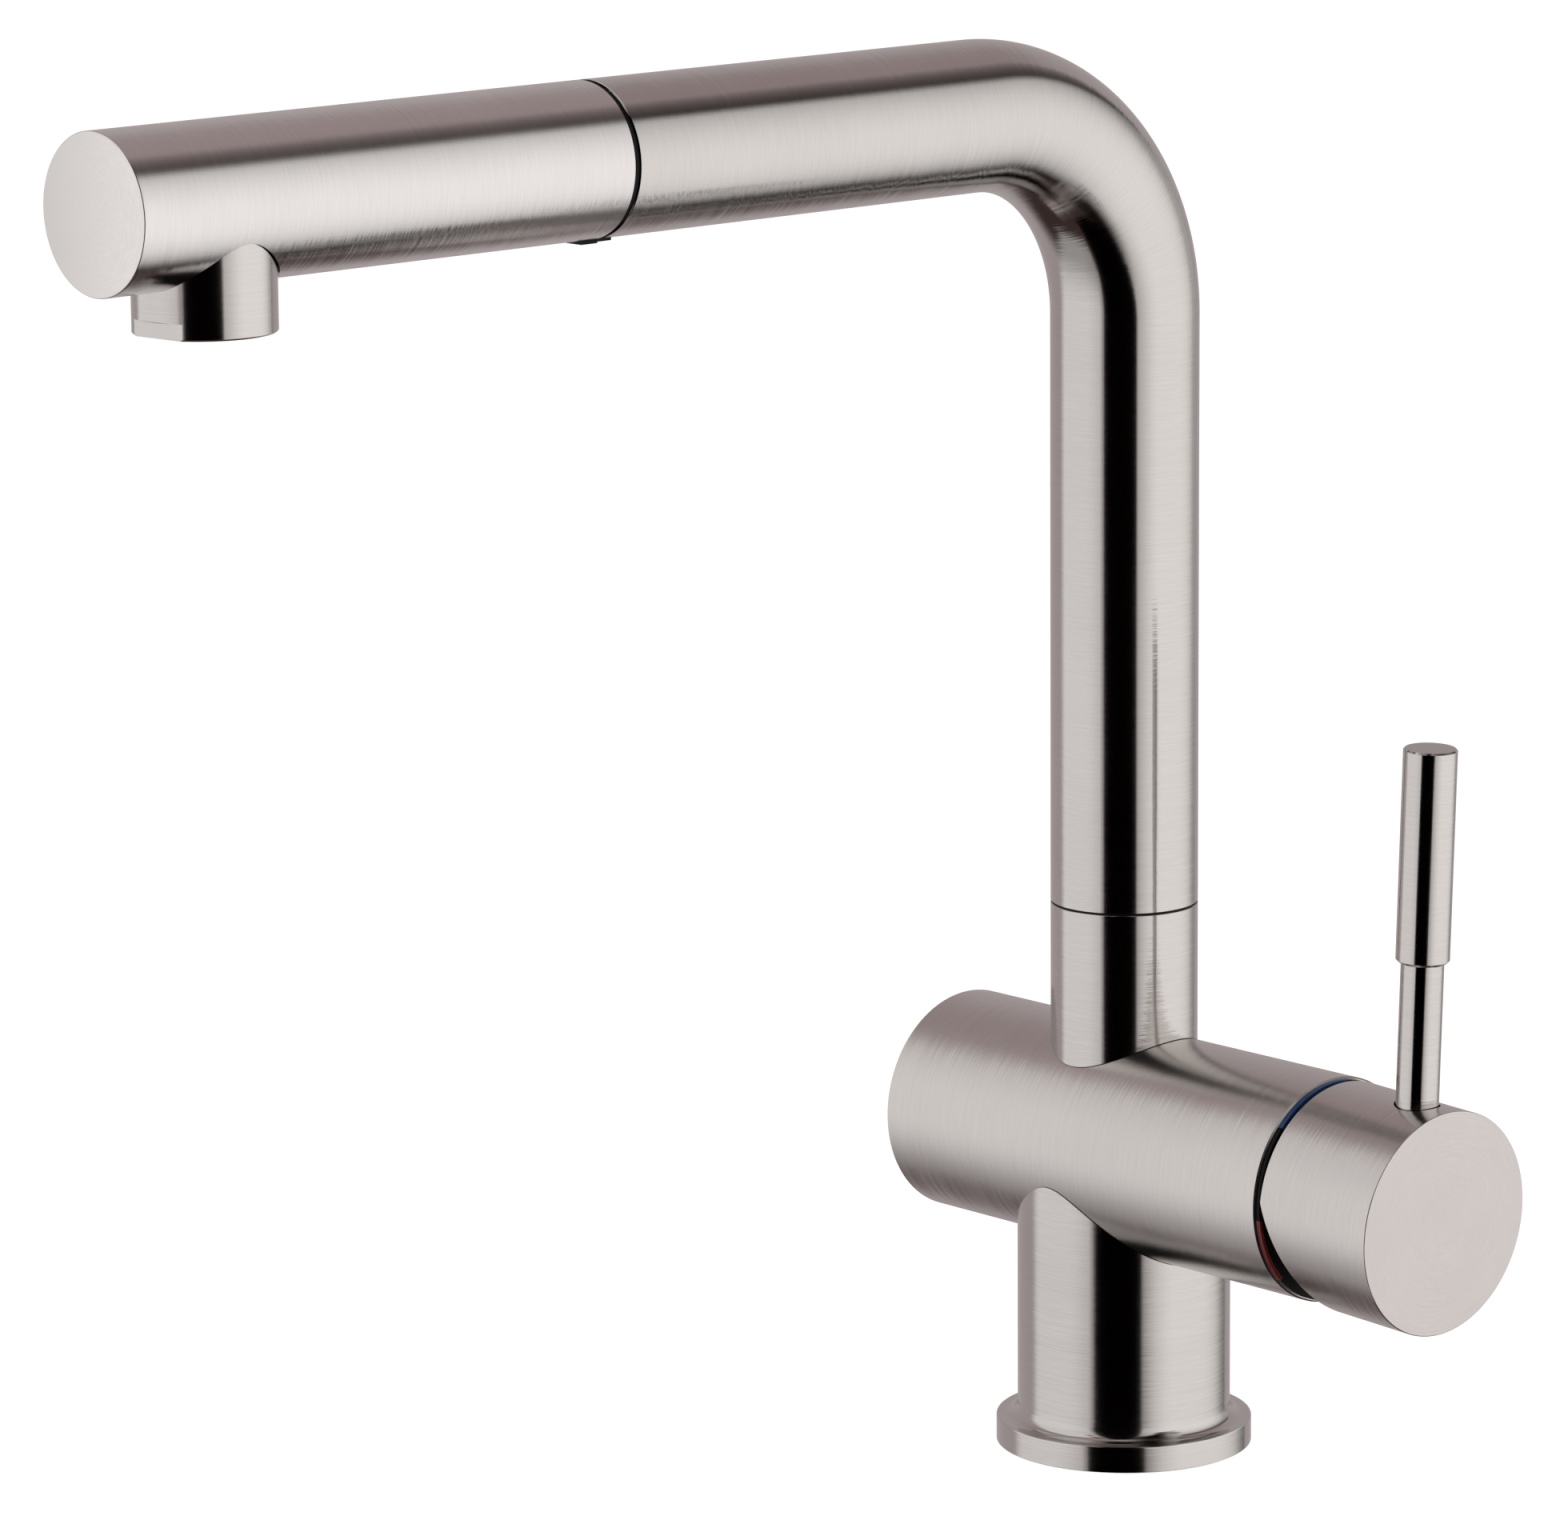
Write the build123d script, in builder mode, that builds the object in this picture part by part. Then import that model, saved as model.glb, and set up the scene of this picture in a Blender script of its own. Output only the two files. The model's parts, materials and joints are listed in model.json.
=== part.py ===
"""Pull-out kitchen faucet of brushed stainless steel tube.

The origin is the middle of the foot on the worktop, +Z is up, the spout points to -Y
and the lever stands on the +X side. All sizes are in millimetres.
"""

import os
from math import cos, degrees, radians, sin, sqrt, tan

from build123d import *

os.makedirs("parts", exist_ok=True)

# Fits
close_fit = 0.05  # radial room of a piece that is pressed, screwed or welded in its seat
running_fit = 0.05  # radial room of a shaft that turns or slides in its bore
thrust_gap = 0.1  # room between two faces that slide on each other
free_gap = 0.3  # room between two pieces that move past each other
edge_break = 0.3  # chamfer that takes the sharpness off a rim

# Valve barrel, which lies across the post
barrel_radius = 21.3
barrel_wall = 2.0
barrel_height = 59.7
barrel_left = 43.9
barrel_right = 55.8
end_plug_length = 4.0

# Foot and post
post_set_back = 0.9
post_wall = 2.2
foot_overhang = 4.1
foot_height = 4.2
foot_blend = 2.6
gasket_height = 0.9
gasket_inset = 0.4

# Stud block in the post
stud_bore = 3.4
stud_inset = 5.4
stud_wall = 1.4
stud_block_height = 12.0
stud_block_lift = 1.1

# Spout tube: riser, upright, bend and arm share one outline
tube_radius = 14.0
riser_wall = 1.6
riser_length = 24.9
tube_wall = 1.2
bend_radius = 40.2
arm_height = 258.7
arm_reach = 131.4

# Swivel in the riser
bush_wall = 1.1
bush_flange = 0.3
bush_flange_inset = 0.3
spigot_wall = 2.25
spigot_lift = 0.8
spigot_insert = 17.7
lower_bush_length = 4.4
groove_land = 0.75
swivel_half_range = 65.0
stop_screw_radius = 2.0
stop_tip_radius = 1.4
stop_key_radius = 1.1
stop_groove_height = 3.4
stop_groove_wall = 1.0
swivel_seal_section = 1.05
swivel_seal_groove = 2.5
seal_sides = 8

# Docking end of the arm
dock_sleeve_length = 12.4
dock_wall = 2.75
dock_ring_width = 0.95
dock_ring_inset = 0.3
tab_width = 4.0
tab_tail_length = 3.2
tab_nose_length = 4.3
tab_tail_proud = 0.36
tab_nose_proud = 0.6

# Spray head
head_length = 106.85
head_wall = 1.0
head_end_wall = 1.6
waterway_inset = 1.55
waterway_end_gap = 0.4
channel_radius = 4.0
inlet_thread_bore = 7.0
inlet_thread_depth = 10.5

# Nozzle under the spray head
nozzle_set_back = 22.8
nozzle_inset = 1.6
nozzle_drop = 21.8
nozzle_crown = 4.2
nozzle_hole_gap = 0.35
neck_radius = 8.6
neck_wall = 2.0
neck_height = 4.0
neck_seal_section = 0.55
neck_seal_lift = 1.0
neck_seal_groove = 1.2
flat_depth = 1.4
flat_wall = 0.8
flat_height = 2.9
flat_bearing = -83.0

# Jet former in the nozzle
former_inset = 1.0
former_height = 9.4
former_wall = 1.2
former_floor = 2.4
former_cell = 1.35
former_cell_pitch = 3.1
former_rows = 7
former_seal_height = 1.7

# Check valve at the head's inlet
check_chamber_radius = 5.2
check_length = 13.0
check_wall = 0.95
check_seat_bore = 2.6
check_seat_length = 2.0
check_guide_length = 1.6
check_arm_count = 3
check_window_radius = 1.05
poppet_overlap = 0.8
poppet_stem_radius = 0.9
poppet_collar = 1.2
check_spring_radius = 2.2
check_spring_wire = 0.25
check_spring_turns = 6
check_spring_sides = 6

# Pull-out hose
hose_radius = 6.5
hose_bore = 3.5
hose_cut_height = 1.5
hose_room = 1.8
ferrule_wall = 1.1
ferrule_length = 10.0
hose_nut_radius = 8.6
hose_nut_length = 11.0
hose_nut_bore = 3.0
hose_washer_height = 1.0

# Valve seat, the brass block that the supplies screw into
seat_start = 4.0
seat_underside = 16.5
port_bore = 3.5
port_wall = 0.7
port_depth = 9.0
channel_circle = 8.0
channel_bore = 2.0
temperature_range = 100.0
inlet_spread = 45.0
outlet_bearing = 240.0
key_circle = 13.4
key_radius = 1.2
key_length = 2.4

# Cartridge
cartridge_room = 1.9
cartridge_wall = 2.0
base_plate_height = 3.0
port_seal_section = 0.6
fixed_disc_height = 3.0
disc_gap = 0.05
moving_disc_radius = 11.8
moving_disc_height = 3.2
pocket_half_width = 4.8
pocket_top = 6.2
pocket_bottom = 9.0
pocket_depth = 2.0
disc_slot_width = 3.0
disc_slot_circle = 7.0
disc_slot_arc = 30.0
disc_outlet_radius = 2.6
disc_outlet_circle = 6.0
carrier_height = 4.9
carrier_floor = 0.6
driver_flange_height = 1.7
driver_radius = 10.25
driver_past_pivot = 3.1
driver_slot_room = 0.45
housing_shoulder_height = 1.6
housing_neck_wall = 1.9
retaining_nut_height = 5.0
nut_slot_count = 4
nut_slot_width = 3.0
nut_slot_depth = 1.8

# Temperature ring on the barrel's rim
ring_inset = 0.5
ring_rim = 0.9
ring_sleeve_length = 4.8
ring_sleeve_wall = 1.6
ring_web = 1.9
dome_room = 1.3
dome_wall = 1.2
dome_mouth = 11.0
mark_rim = 0.65
mark_depth = 0.9
mark_proud = 0.1
cold_mark_from = 44.0
cold_mark_to = 96.0
hot_mark_from = -44.0
hot_mark_to = -6.0

# Lever: everything here is measured in the tilted frame of its pivot
pivot_set_back = 6.9
closed_tilt = 2.2
open_travel = 20.0
cap_radius = 21.2
cap_length = 26.7
cap_wall = 2.4
cap_gap = 0.34
cap_bore_room = 3.0
cap_face_wall = 3.3
cap_bevel_start = 2.0
cap_bevel_margin = 0.3
stem_width = 7.6
stem_height = 8.0
stem_inner_end = 3.4
stem_arm = 8.6
stem_arm_radius = 2.0
stem_ball_radius = 2.6
stem_ball_fit = 0.1
stem_ball_sink = 0.85
pivot_pin_radius = 1.5
pivot_pin_recess = 0.95
rod_radius = 4.0
rod_set_back = 7.9
rod_seat_depth = 7.2
rod_show = 26.0
rod_thread_radius = 3.0
rod_nose_length = 4.0
rod_hole_gap = 0.3
grip_radius = 5.0
grip_length = 40.9
grip_socket_depth = 11.0
grip_edge = 0.5
set_screw_gap = 0.8
set_screw_key = 1.5
set_screw_key_depth = 2.6

# Places of the post, the barrel and the swivel
barrel_bore = barrel_radius - barrel_wall
barrel_length = barrel_left + barrel_right
post_radius = barrel_radius - post_set_back
post_bore = post_radius - post_wall
foot_radius = post_radius + foot_overhang
foot_top = gasket_height + foot_height
stud_reach = post_bore - stud_inset
riser_bore = tube_radius - riser_wall
tube_bore = tube_radius - tube_wall
crown_height = barrel_height + barrel_radius
seam_height = crown_height + riser_length
tube_foot = seam_height + bush_flange + thrust_gap
spigot_radius = riser_bore - close_fit - bush_wall
spigot_bore = spigot_radius - spigot_wall
spigot_foot = crown_height + spigot_lift
spigot_top = tube_foot + spigot_insert
lower_bush_foot = spigot_foot + groove_land
lower_seal_height = lower_bush_foot + lower_bush_length + groove_land + swivel_seal_groove / 2
seal_to_stop = (swivel_seal_groove + stop_groove_height) / 2 + groove_land
stop_height = lower_seal_height + seal_to_stop
upper_seal_height = stop_height + seal_to_stop
upper_bush_foot = upper_seal_height + swivel_seal_groove / 2 + groove_land
swivel_seal_circle = riser_bore - close_fit - swivel_seal_section
stop_groove_floor = spigot_bore + stop_groove_wall
stop_tip_reach = stop_groove_floor + free_gap

# Places of the docking collar, the head and the hose end
plug_start = arm_reach - dock_sleeve_length
dock_bore = tube_bore - close_fit - dock_wall
plug_radius = dock_bore - running_fit
tab_tail_reach = arm_reach - tab_tail_length
tab_nose_reach = arm_reach + tab_nose_length
head_start = arm_reach + dock_ring_width + free_gap
head_end = head_start + head_length
head_bore = tube_radius - head_wall
waterway_start = head_start + waterway_inset
waterway_end = head_end - head_end_wall - waterway_end_gap
waterway_radius = head_bore - close_fit
thread_floor = plug_start + inlet_thread_depth
nozzle_reach = head_end - nozzle_set_back
nozzle_radius = tube_radius - nozzle_inset
nozzle_bore = nozzle_radius - flat_depth - flat_wall
nozzle_bottom = arm_height - nozzle_drop
nozzle_top = arm_height - nozzle_crown
neck_bore = neck_radius - neck_wall
neck_groove_foot = nozzle_top + neck_seal_lift
neck_groove_floor = neck_radius - 2 * neck_seal_section
former_radius = nozzle_bore - close_fit
former_bottom = nozzle_bottom + former_inset
former_top = former_bottom + former_height
nozzle_shelf = former_top + former_seal_height
check_end = thread_floor + check_length
check_bore = check_chamber_radius - close_fit - check_wall
poppet_start = thread_floor + check_seat_length + thrust_gap
poppet_radius = check_seat_bore + poppet_overlap
nut_end = plug_start - thrust_gap
nut_start = nut_end - hose_nut_length
nut_nose_end = thread_floor - hose_washer_height
ferrule_start = nut_start - ferrule_length
hose_passage = hose_radius + hose_room
port_circle = hose_passage + port_wall + port_bore

# Places along the barrel's axis, counted back from the lever's pivot
pivot_reach = barrel_right - pivot_set_back
full_tilt = closed_tilt + open_travel
carrier_end = pivot_reach - stem_arm + stem_ball_sink
carrier_start = carrier_end - carrier_height
moving_disc_start = carrier_start - moving_disc_height
fixed_disc_start = moving_disc_start - disc_gap - fixed_disc_height
seat_face = fixed_disc_start - base_plate_height
seat_floor = barrel_height - seat_underside
ball_rest = stem_arm * sin(radians(closed_tilt))
ball_open = stem_arm * sin(radians(full_tilt))
disc_rest = (ball_rest - ball_open) / 2
cartridge_radius = barrel_bore - cartridge_room
cartridge_bore = cartridge_radius - cartridge_wall
seal_recess = channel_bore + 2 * port_seal_section + close_fit
driver_flange_start = carrier_end + free_gap
driver_end = pivot_reach + driver_past_pivot
driver_slot_half_height = ball_open + stem_ball_radius + driver_slot_room
housing_shoulder = driver_flange_start + driver_flange_height + thrust_gap
housing_end = driver_end + free_gap
housing_neck_radius = driver_radius + running_fit + housing_neck_wall
nut_foot = housing_shoulder + housing_shoulder_height
nut_top = nut_foot + retaining_nut_height

# Places of the temperature ring, whose dome is a zone of a sphere round the pivot
ring_radius = barrel_radius - ring_inset
ring_front = barrel_right + ring_rim
ring_sleeve_start = barrel_right - ring_sleeve_length
ring_sleeve_radius = barrel_bore - close_fit
dome_radius = cap_radius - cap_wall - dome_room
dome_inner = dome_radius - dome_wall
web_start = ring_front - ring_web
web_radius = sqrt(dome_inner**2 - (web_start - pivot_reach) ** 2)
rim_root = sqrt(dome_radius**2 - (ring_front - pivot_reach) ** 2)
mouth_outer = pivot_reach + sqrt(dome_radius**2 - dome_mouth**2)
mouth_inner = pivot_reach + sqrt(dome_inner**2 - dome_mouth**2)
mark_arcs = [(cold_mark_from, cold_mark_to), (hot_mark_from, hot_mark_to)]

# Places along the lever's own axis and along its rod
cap_rear = ring_front - pivot_reach + cap_gap
cap_face = cap_rear + cap_length
cap_bore_end = dome_radius + cap_bore_room
stem_tip = cap_face - cap_face_wall
rod_seat = cap_radius - rod_seat_depth
rod_nose_start = rod_seat - rod_nose_length
grip_start = cap_radius + rod_show
set_screw_end = rod_nose_start - set_screw_gap

# Working planes and axes: local z runs along each tube, local y points up
barrel_plane = Plane(origin=(0, 0, barrel_height), x_dir=(0, 1, 0), z_dir=(1, 0, 0))
barrel_section = Plane(origin=(0, 0, barrel_height), x_dir=(1, 0, 0), z_dir=(0, -1, 0))
barrel_axis = Axis((0, 0, barrel_height), (1, 0, 0))
arm_plane = Plane(origin=(0, 0, arm_height), x_dir=(1, 0, 0), z_dir=(0, -1, 0))
arm_section = Plane(origin=(0, 0, arm_height), x_dir=(0, -1, 0), z_dir=(-1, 0, 0))
arm_axis = Axis((0, 0, arm_height), (0, -1, 0))
tilt = radians(closed_tilt)
pivot = (pivot_reach, 0, barrel_height)
lever_plane = Plane(origin=pivot, x_dir=(0, 1, 0), z_dir=(cos(tilt), 0, -sin(tilt)))
lever_section = Plane(origin=pivot, x_dir=(cos(tilt), 0, -sin(tilt)), z_dir=(0, -1, 0))
lever_axis = Axis(pivot, (cos(tilt), 0, -sin(tilt)))
rod_foot = lever_plane.from_local_coords((0, 0, cap_face - rod_set_back))
rod_plane = Plane(origin=rod_foot, x_dir=(0, 1, 0), z_dir=(sin(tilt), 0, cos(tilt)))
nozzle_plane = Plane(origin=(0, -nozzle_reach, 0), x_dir=(1, 0, 0), z_dir=(0, 0, 1))
nozzle_section = Plane(origin=(0, -nozzle_reach, 0), x_dir=(1, 0, 0), z_dir=(0, -1, 0))
nozzle_axis = Axis((0, -nozzle_reach, 0), (0, 0, 1))
stop_plane = Plane(origin=(0, 0, stop_height), x_dir=(-1, 0, 0), z_dir=(0, 1, 0))
pin_plane = Plane(origin=pivot, x_dir=(1, 0, 0), z_dir=(0, -1, 0))


def bearing_point(bearing, radius):
    """Point of the barrel plane at a bearing measured from straight up towards the front."""
    angle = radians(bearing)
    return (-radius * sin(angle), radius * cos(angle))


def mark_plane(elevation):
    """Radial half plane through the barrel's axis, raised by an angle from the front side."""
    angle = radians(elevation)
    return Plane(
        origin=(0, 0, barrel_height),
        x_dir=(1, 0, 0),
        z_dir=(0, -sin(angle), -cos(angle)),
    )


middle_bearing = temperature_range / 2
cold_point = bearing_point(middle_bearing - inlet_spread, channel_circle)
hot_point = bearing_point(middle_bearing + inlet_spread, channel_circle)
outlet_point = bearing_point(outlet_bearing, channel_circle)
channel_points = [cold_point, hot_point, outlet_point]

# Foot gasket
with BuildPart() as base_gasket:
    with BuildSketch():
        Circle(foot_radius - gasket_inset)
        Circle(post_bore + gasket_inset, mode=Mode.SUBTRACT)
    extrude(amount=gasket_height)
base_gasket.part.label = "base_gasket"
export_step(base_gasket.part, "parts/base_gasket.step")

# Base post: a turned foot and tube, cut to a saddle where the barrel lies on it
with BuildPart() as base_post:
    with BuildSketch(Plane.XZ):
        with BuildLine():
            Polyline(
                (post_bore, barrel_height),
                (post_bore, gasket_height),
                (foot_radius, gasket_height),
                (foot_radius, foot_top - edge_break),
                (foot_radius - edge_break, foot_top),
                (post_radius + foot_blend, foot_top),
            )
            RadiusArc(
                (post_radius + foot_blend, foot_top),
                (post_radius, foot_top + foot_blend),
                foot_blend,
            )
            Polyline(
                (post_radius, foot_top + foot_blend),
                (post_radius, barrel_height),
                (post_bore, barrel_height),
            )
        make_face()
    revolve(axis=Axis.Z)
    with BuildSketch(barrel_plane.offset(-barrel_left)):
        Circle(barrel_radius)
    extrude(amount=barrel_length, mode=Mode.SUBTRACT)
base_post.part.label = "base_post"
export_step(base_post.part, "parts/base_post.step")

# Stud block: a segment welded into the post, tapped for the fixing stud
with BuildPart() as stud_block:
    with BuildSketch(Plane.XY.offset(gasket_height + stud_block_lift)):
        Circle(post_bore - close_fit)
        with Locations((stud_bore + stud_wall - stud_reach, 0)):
            Rectangle(
                2 * post_bore,
                2 * post_bore,
                align=(Align.MIN, Align.CENTER),
                mode=Mode.SUBTRACT,
            )
        with Locations((-stud_reach, 0)):
            Circle(stud_bore, mode=Mode.SUBTRACT)
    extrude(amount=stud_block_height)
stud_block.part.label = "stud_block"
export_step(stud_block.part, "parts/stud_block.step")

# Valve barrel: the cross tube, open below to the post and above to the riser
with BuildPart() as valve_barrel:
    with BuildSketch(barrel_plane.offset(-barrel_left)):
        Circle(barrel_radius)
    extrude(amount=barrel_length)
    rims = valve_barrel.edges().filter_by(GeomType.CIRCLE).sort_by(Axis.X)
    chamfer(rims, edge_break)
    with BuildSketch(barrel_plane.offset(-barrel_left)):
        Circle(barrel_bore)
    extrude(amount=barrel_length, mode=Mode.SUBTRACT)
    with BuildSketch(Plane.XY.offset(barrel_height)):
        Circle(post_bore)
    extrude(amount=-2 * barrel_radius, mode=Mode.SUBTRACT)
    with BuildSketch(Plane.XY.offset(barrel_height)):
        Circle(riser_bore)
    extrude(amount=2 * barrel_radius, mode=Mode.SUBTRACT)
valve_barrel.part.label = "valve_barrel"
export_step(valve_barrel.part, "parts/valve_barrel.step")

# Barrel end plug, pressed flush into the closed end
with BuildPart() as barrel_end_plug:
    with BuildSketch(barrel_plane.offset(-barrel_left)):
        Circle(barrel_bore - close_fit)
    extrude(amount=end_plug_length)
barrel_end_plug.part.label = "barrel_end_plug"
export_step(barrel_end_plug.part, "parts/barrel_end_plug.step")

# Riser: the short tube that stands on the barrel and holds the swivel
with BuildPart() as riser:
    with BuildSketch(Plane.XY.offset(barrel_height)):
        Circle(tube_radius)
        Circle(riser_bore, mode=Mode.SUBTRACT)
    extrude(amount=seam_height - barrel_height)
    with BuildSketch(barrel_plane.offset(-barrel_left)):
        Circle(barrel_radius)
    extrude(amount=barrel_length, mode=Mode.SUBTRACT)
    with BuildSketch(Plane.XZ):
        with Locations((0, stop_height)):
            Circle(stop_screw_radius)
    extrude(amount=-tube_radius, mode=Mode.SUBTRACT)
riser.part.label = "riser"
export_step(riser.part, "parts/riser.step")

# Upper swivel bush, whose thin flange is the dark line under the spout tube
with BuildPart() as upper_bush:
    with BuildSketch(Plane.XY.offset(upper_bush_foot)):
        Circle(riser_bore - close_fit)
        Circle(spigot_radius + running_fit, mode=Mode.SUBTRACT)
    extrude(amount=seam_height - upper_bush_foot)
    with BuildSketch(Plane.XY.offset(seam_height)):
        Circle(tube_radius - bush_flange_inset)
        Circle(spigot_radius + running_fit, mode=Mode.SUBTRACT)
    extrude(amount=bush_flange)
upper_bush.part.label = "upper_swivel_bush"
export_step(upper_bush.part, "parts/upper_swivel_bush.step")

# Lower swivel bush
with BuildPart() as lower_bush:
    with BuildSketch(Plane.XY.offset(lower_bush_foot)):
        Circle(riser_bore - close_fit)
        Circle(spigot_radius + running_fit, mode=Mode.SUBTRACT)
    extrude(amount=lower_bush_length)
lower_bush.part.label = "lower_swivel_bush"
export_step(lower_bush.part, "parts/lower_swivel_bush.step")

# Swivel stop screw in the back of the riser: its tip runs in the spigot's groove
with BuildPart() as swivel_stop_screw:
    with BuildSketch(stop_plane.offset(tube_radius - edge_break)):
        Circle(stop_screw_radius - close_fit)
    extrude(amount=spigot_radius + free_gap + edge_break - tube_radius)
    with BuildSketch(stop_plane.offset(stop_tip_reach)):
        Circle(stop_tip_radius)
    extrude(amount=spigot_radius + free_gap - stop_tip_reach)
    with BuildSketch(stop_plane.offset(tube_radius - edge_break)):
        RegularPolygon(stop_key_radius, 6)
    extrude(amount=-riser_wall, mode=Mode.SUBTRACT)
swivel_stop_screw.part.label = "swivel_stop_screw"
export_step(swivel_stop_screw.part, "parts/swivel_stop_screw.step")

# Spout spigot: pressed into the spout tube, it turns in the two bushes. Its groove for the
# stop screw runs round the back only, and the groove's ends limit the swivel
groove_half_angle = swivel_half_range + degrees((stop_tip_radius + free_gap) / stop_groove_floor)
groove_start = radians(90 - groove_half_angle)
groove_section = Plane(
    origin=(0, 0, stop_height),
    x_dir=(cos(groove_start), sin(groove_start), 0),
    z_dir=(sin(groove_start), -cos(groove_start), 0),
)
with BuildPart() as spout_spigot:
    with BuildSketch(Plane.XZ):
        with BuildLine():
            Polyline(
                (spigot_bore, spigot_foot),
                (spigot_radius - edge_break, spigot_foot),
                (spigot_radius, spigot_foot + edge_break),
                (spigot_radius, tube_foot),
                (tube_bore - close_fit, tube_foot),
                (tube_bore - close_fit, spigot_top - edge_break),
                (tube_bore - close_fit - edge_break, spigot_top),
                (spigot_bore, spigot_top),
                close=True,
            )
        make_face()
    revolve(axis=Axis.Z)
    for seal_height in (lower_seal_height, upper_seal_height):
        with BuildSketch(Plane.XY.offset(seal_height - swivel_seal_groove / 2)):
            Circle(spigot_radius + edge_break)
            Circle(swivel_seal_circle - swivel_seal_section, mode=Mode.SUBTRACT)
        extrude(amount=swivel_seal_groove, mode=Mode.SUBTRACT)
    with BuildSketch(groove_section):
        with Locations((stop_groove_floor + spigot_radius / 2, 0)):
            Rectangle(spigot_radius, stop_groove_height)
    revolve(axis=Axis.Z, revolution_arc=2 * groove_half_angle, mode=Mode.SUBTRACT)
spout_spigot.part.label = "spout_spigot"
export_step(spout_spigot.part, "parts/spout_spigot.step")

# Two swivel seals in the spigot's grooves
with BuildPart() as swivel_seals:
    with BuildSketch(Plane.XZ):
        with Locations(
            (swivel_seal_circle, lower_seal_height), (swivel_seal_circle, upper_seal_height)
        ):
            RegularPolygon(
                swivel_seal_section, seal_sides, major_radius=False, rotation=180 / seal_sides
            )
    revolve(axis=Axis.Z)
swivel_seals.part.label = "swivel_seals"
export_step(swivel_seals.part, "parts/swivel_seals.step")

# Spout tube: one tube bent from upright to arm, notched below for the docking tab
with BuildPart() as spout_tube:
    with BuildLine(Plane.YZ) as spout_route:
        FilletPolyline(
            (0, tube_foot), (0, arm_height), (-arm_reach, arm_height), radius=bend_radius
        )
    with BuildSketch(Plane.XY.offset(tube_foot)):
        Circle(tube_radius)
    sweep(path=spout_route.wires()[0])
    with BuildSketch(Plane.XY.offset(tube_foot)):
        Circle(tube_bore)
    sweep(path=spout_route.wires()[0], mode=Mode.SUBTRACT)
    with BuildSketch(arm_plane.offset(tab_tail_reach - close_fit)):
        with Locations((0, -tube_radius)):
            Rectangle(tab_width + 2 * close_fit, tube_radius)
    extrude(amount=tube_radius, mode=Mode.SUBTRACT)
spout_tube.part.label = "spout_tube"
export_step(spout_tube.part, "parts/spout_tube.step")

# Docking collar: the black plastic sleeve in the arm's mouth that the head plugs into,
# with the ring that shows in the seam and the tab that keeps the nozzle pointing down
with BuildPart() as docking_collar:
    with BuildSketch(arm_plane.offset(plug_start)):
        Circle(tube_bore - close_fit)
    extrude(amount=dock_sleeve_length)
    with BuildSketch(arm_plane.offset(arm_reach)):
        Circle(tube_radius - dock_ring_inset)
    extrude(amount=dock_ring_width)
    with BuildSketch(arm_plane.offset(plug_start)):
        Circle(dock_bore)
    extrude(amount=dock_sleeve_length + dock_ring_width, mode=Mode.SUBTRACT)
    with BuildSketch(arm_plane.offset(tab_tail_reach)):
        with Locations((0, -tube_radius - tab_tail_proud)):
            Rectangle(
                tab_width,
                tube_wall + tab_tail_proud + edge_break,
                align=(Align.CENTER, Align.MIN),
            )
    extrude(amount=arm_reach + dock_ring_width - tab_tail_reach)
    with BuildSketch(arm_plane.offset(arm_reach)):
        with Locations((0, -tube_radius - tab_nose_proud)):
            Rectangle(
                tab_width,
                tube_radius + tab_nose_proud - waterway_radius - free_gap,
                align=(Align.CENTER, Align.MIN),
            )
    extrude(amount=tab_nose_reach - arm_reach)
    nose_edge = docking_collar.faces().sort_by(arm_axis)[-1].edges().sort_by(Axis.Z)[0]
    fillet(nose_edge, tab_nose_proud)
docking_collar.part.label = "docking_collar"
export_step(docking_collar.part, "parts/docking_collar.step")

# Head shell: a tube with a flat closed end, holed below for the nozzle
with BuildPart() as head_shell:
    with BuildSketch(arm_plane.offset(head_start)):
        Circle(tube_radius)
    extrude(amount=head_length)
    chamfer(head_shell.edges().filter_by(GeomType.CIRCLE), edge_break)
    with BuildSketch(arm_plane.offset(head_start)):
        Circle(head_bore)
    extrude(amount=head_length - head_end_wall, mode=Mode.SUBTRACT)
    with BuildSketch(nozzle_plane.offset(arm_height)):
        Circle(nozzle_radius + nozzle_hole_gap)
    extrude(amount=-2 * tube_radius, mode=Mode.SUBTRACT)
    with BuildSketch(arm_plane.offset(head_start)):
        with Locations((0, -tube_radius)):
            Rectangle(tab_width + 2 * free_gap, tube_radius)
    extrude(amount=tab_nose_reach + free_gap - head_start, mode=Mode.SUBTRACT)
head_shell.part.label = "head_shell"
export_step(head_shell.part, "parts/head_shell.step")

# Head waterway: the plastic core that plugs into the collar and leads to the nozzle
with BuildPart() as head_waterway:
    with BuildSketch(arm_section):
        with BuildLine():
            Polyline(
                (plug_start, 0),
                (plug_start, plug_radius - edge_break),
                (plug_start + edge_break, plug_radius),
                (waterway_start, plug_radius),
                (waterway_start, waterway_radius),
                (waterway_end, waterway_radius),
                (waterway_end, 0),
                close=True,
            )
        make_face()
    revolve(axis=arm_axis)
    with BuildSketch(arm_plane.offset(plug_start)):
        Circle(inlet_thread_bore)
    extrude(amount=inlet_thread_depth, mode=Mode.SUBTRACT)
    with BuildSketch(arm_plane.offset(plug_start)):
        Circle(check_chamber_radius)
    extrude(amount=check_end + close_fit - plug_start, mode=Mode.SUBTRACT)
    with BuildSketch(arm_plane.offset(plug_start)):
        Circle(channel_radius)
    extrude(amount=nozzle_reach - plug_start, mode=Mode.SUBTRACT)
    with BuildSketch(nozzle_plane.offset(arm_height + 2 * channel_radius)):
        Circle(neck_radius + close_fit)
    extrude(amount=-tube_radius, mode=Mode.SUBTRACT)
    with BuildSketch(nozzle_plane.offset(nozzle_top)):
        Circle(nozzle_radius + close_fit)
    extrude(amount=-tube_radius, mode=Mode.SUBTRACT)
head_waterway.part.label = "head_waterway"
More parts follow.
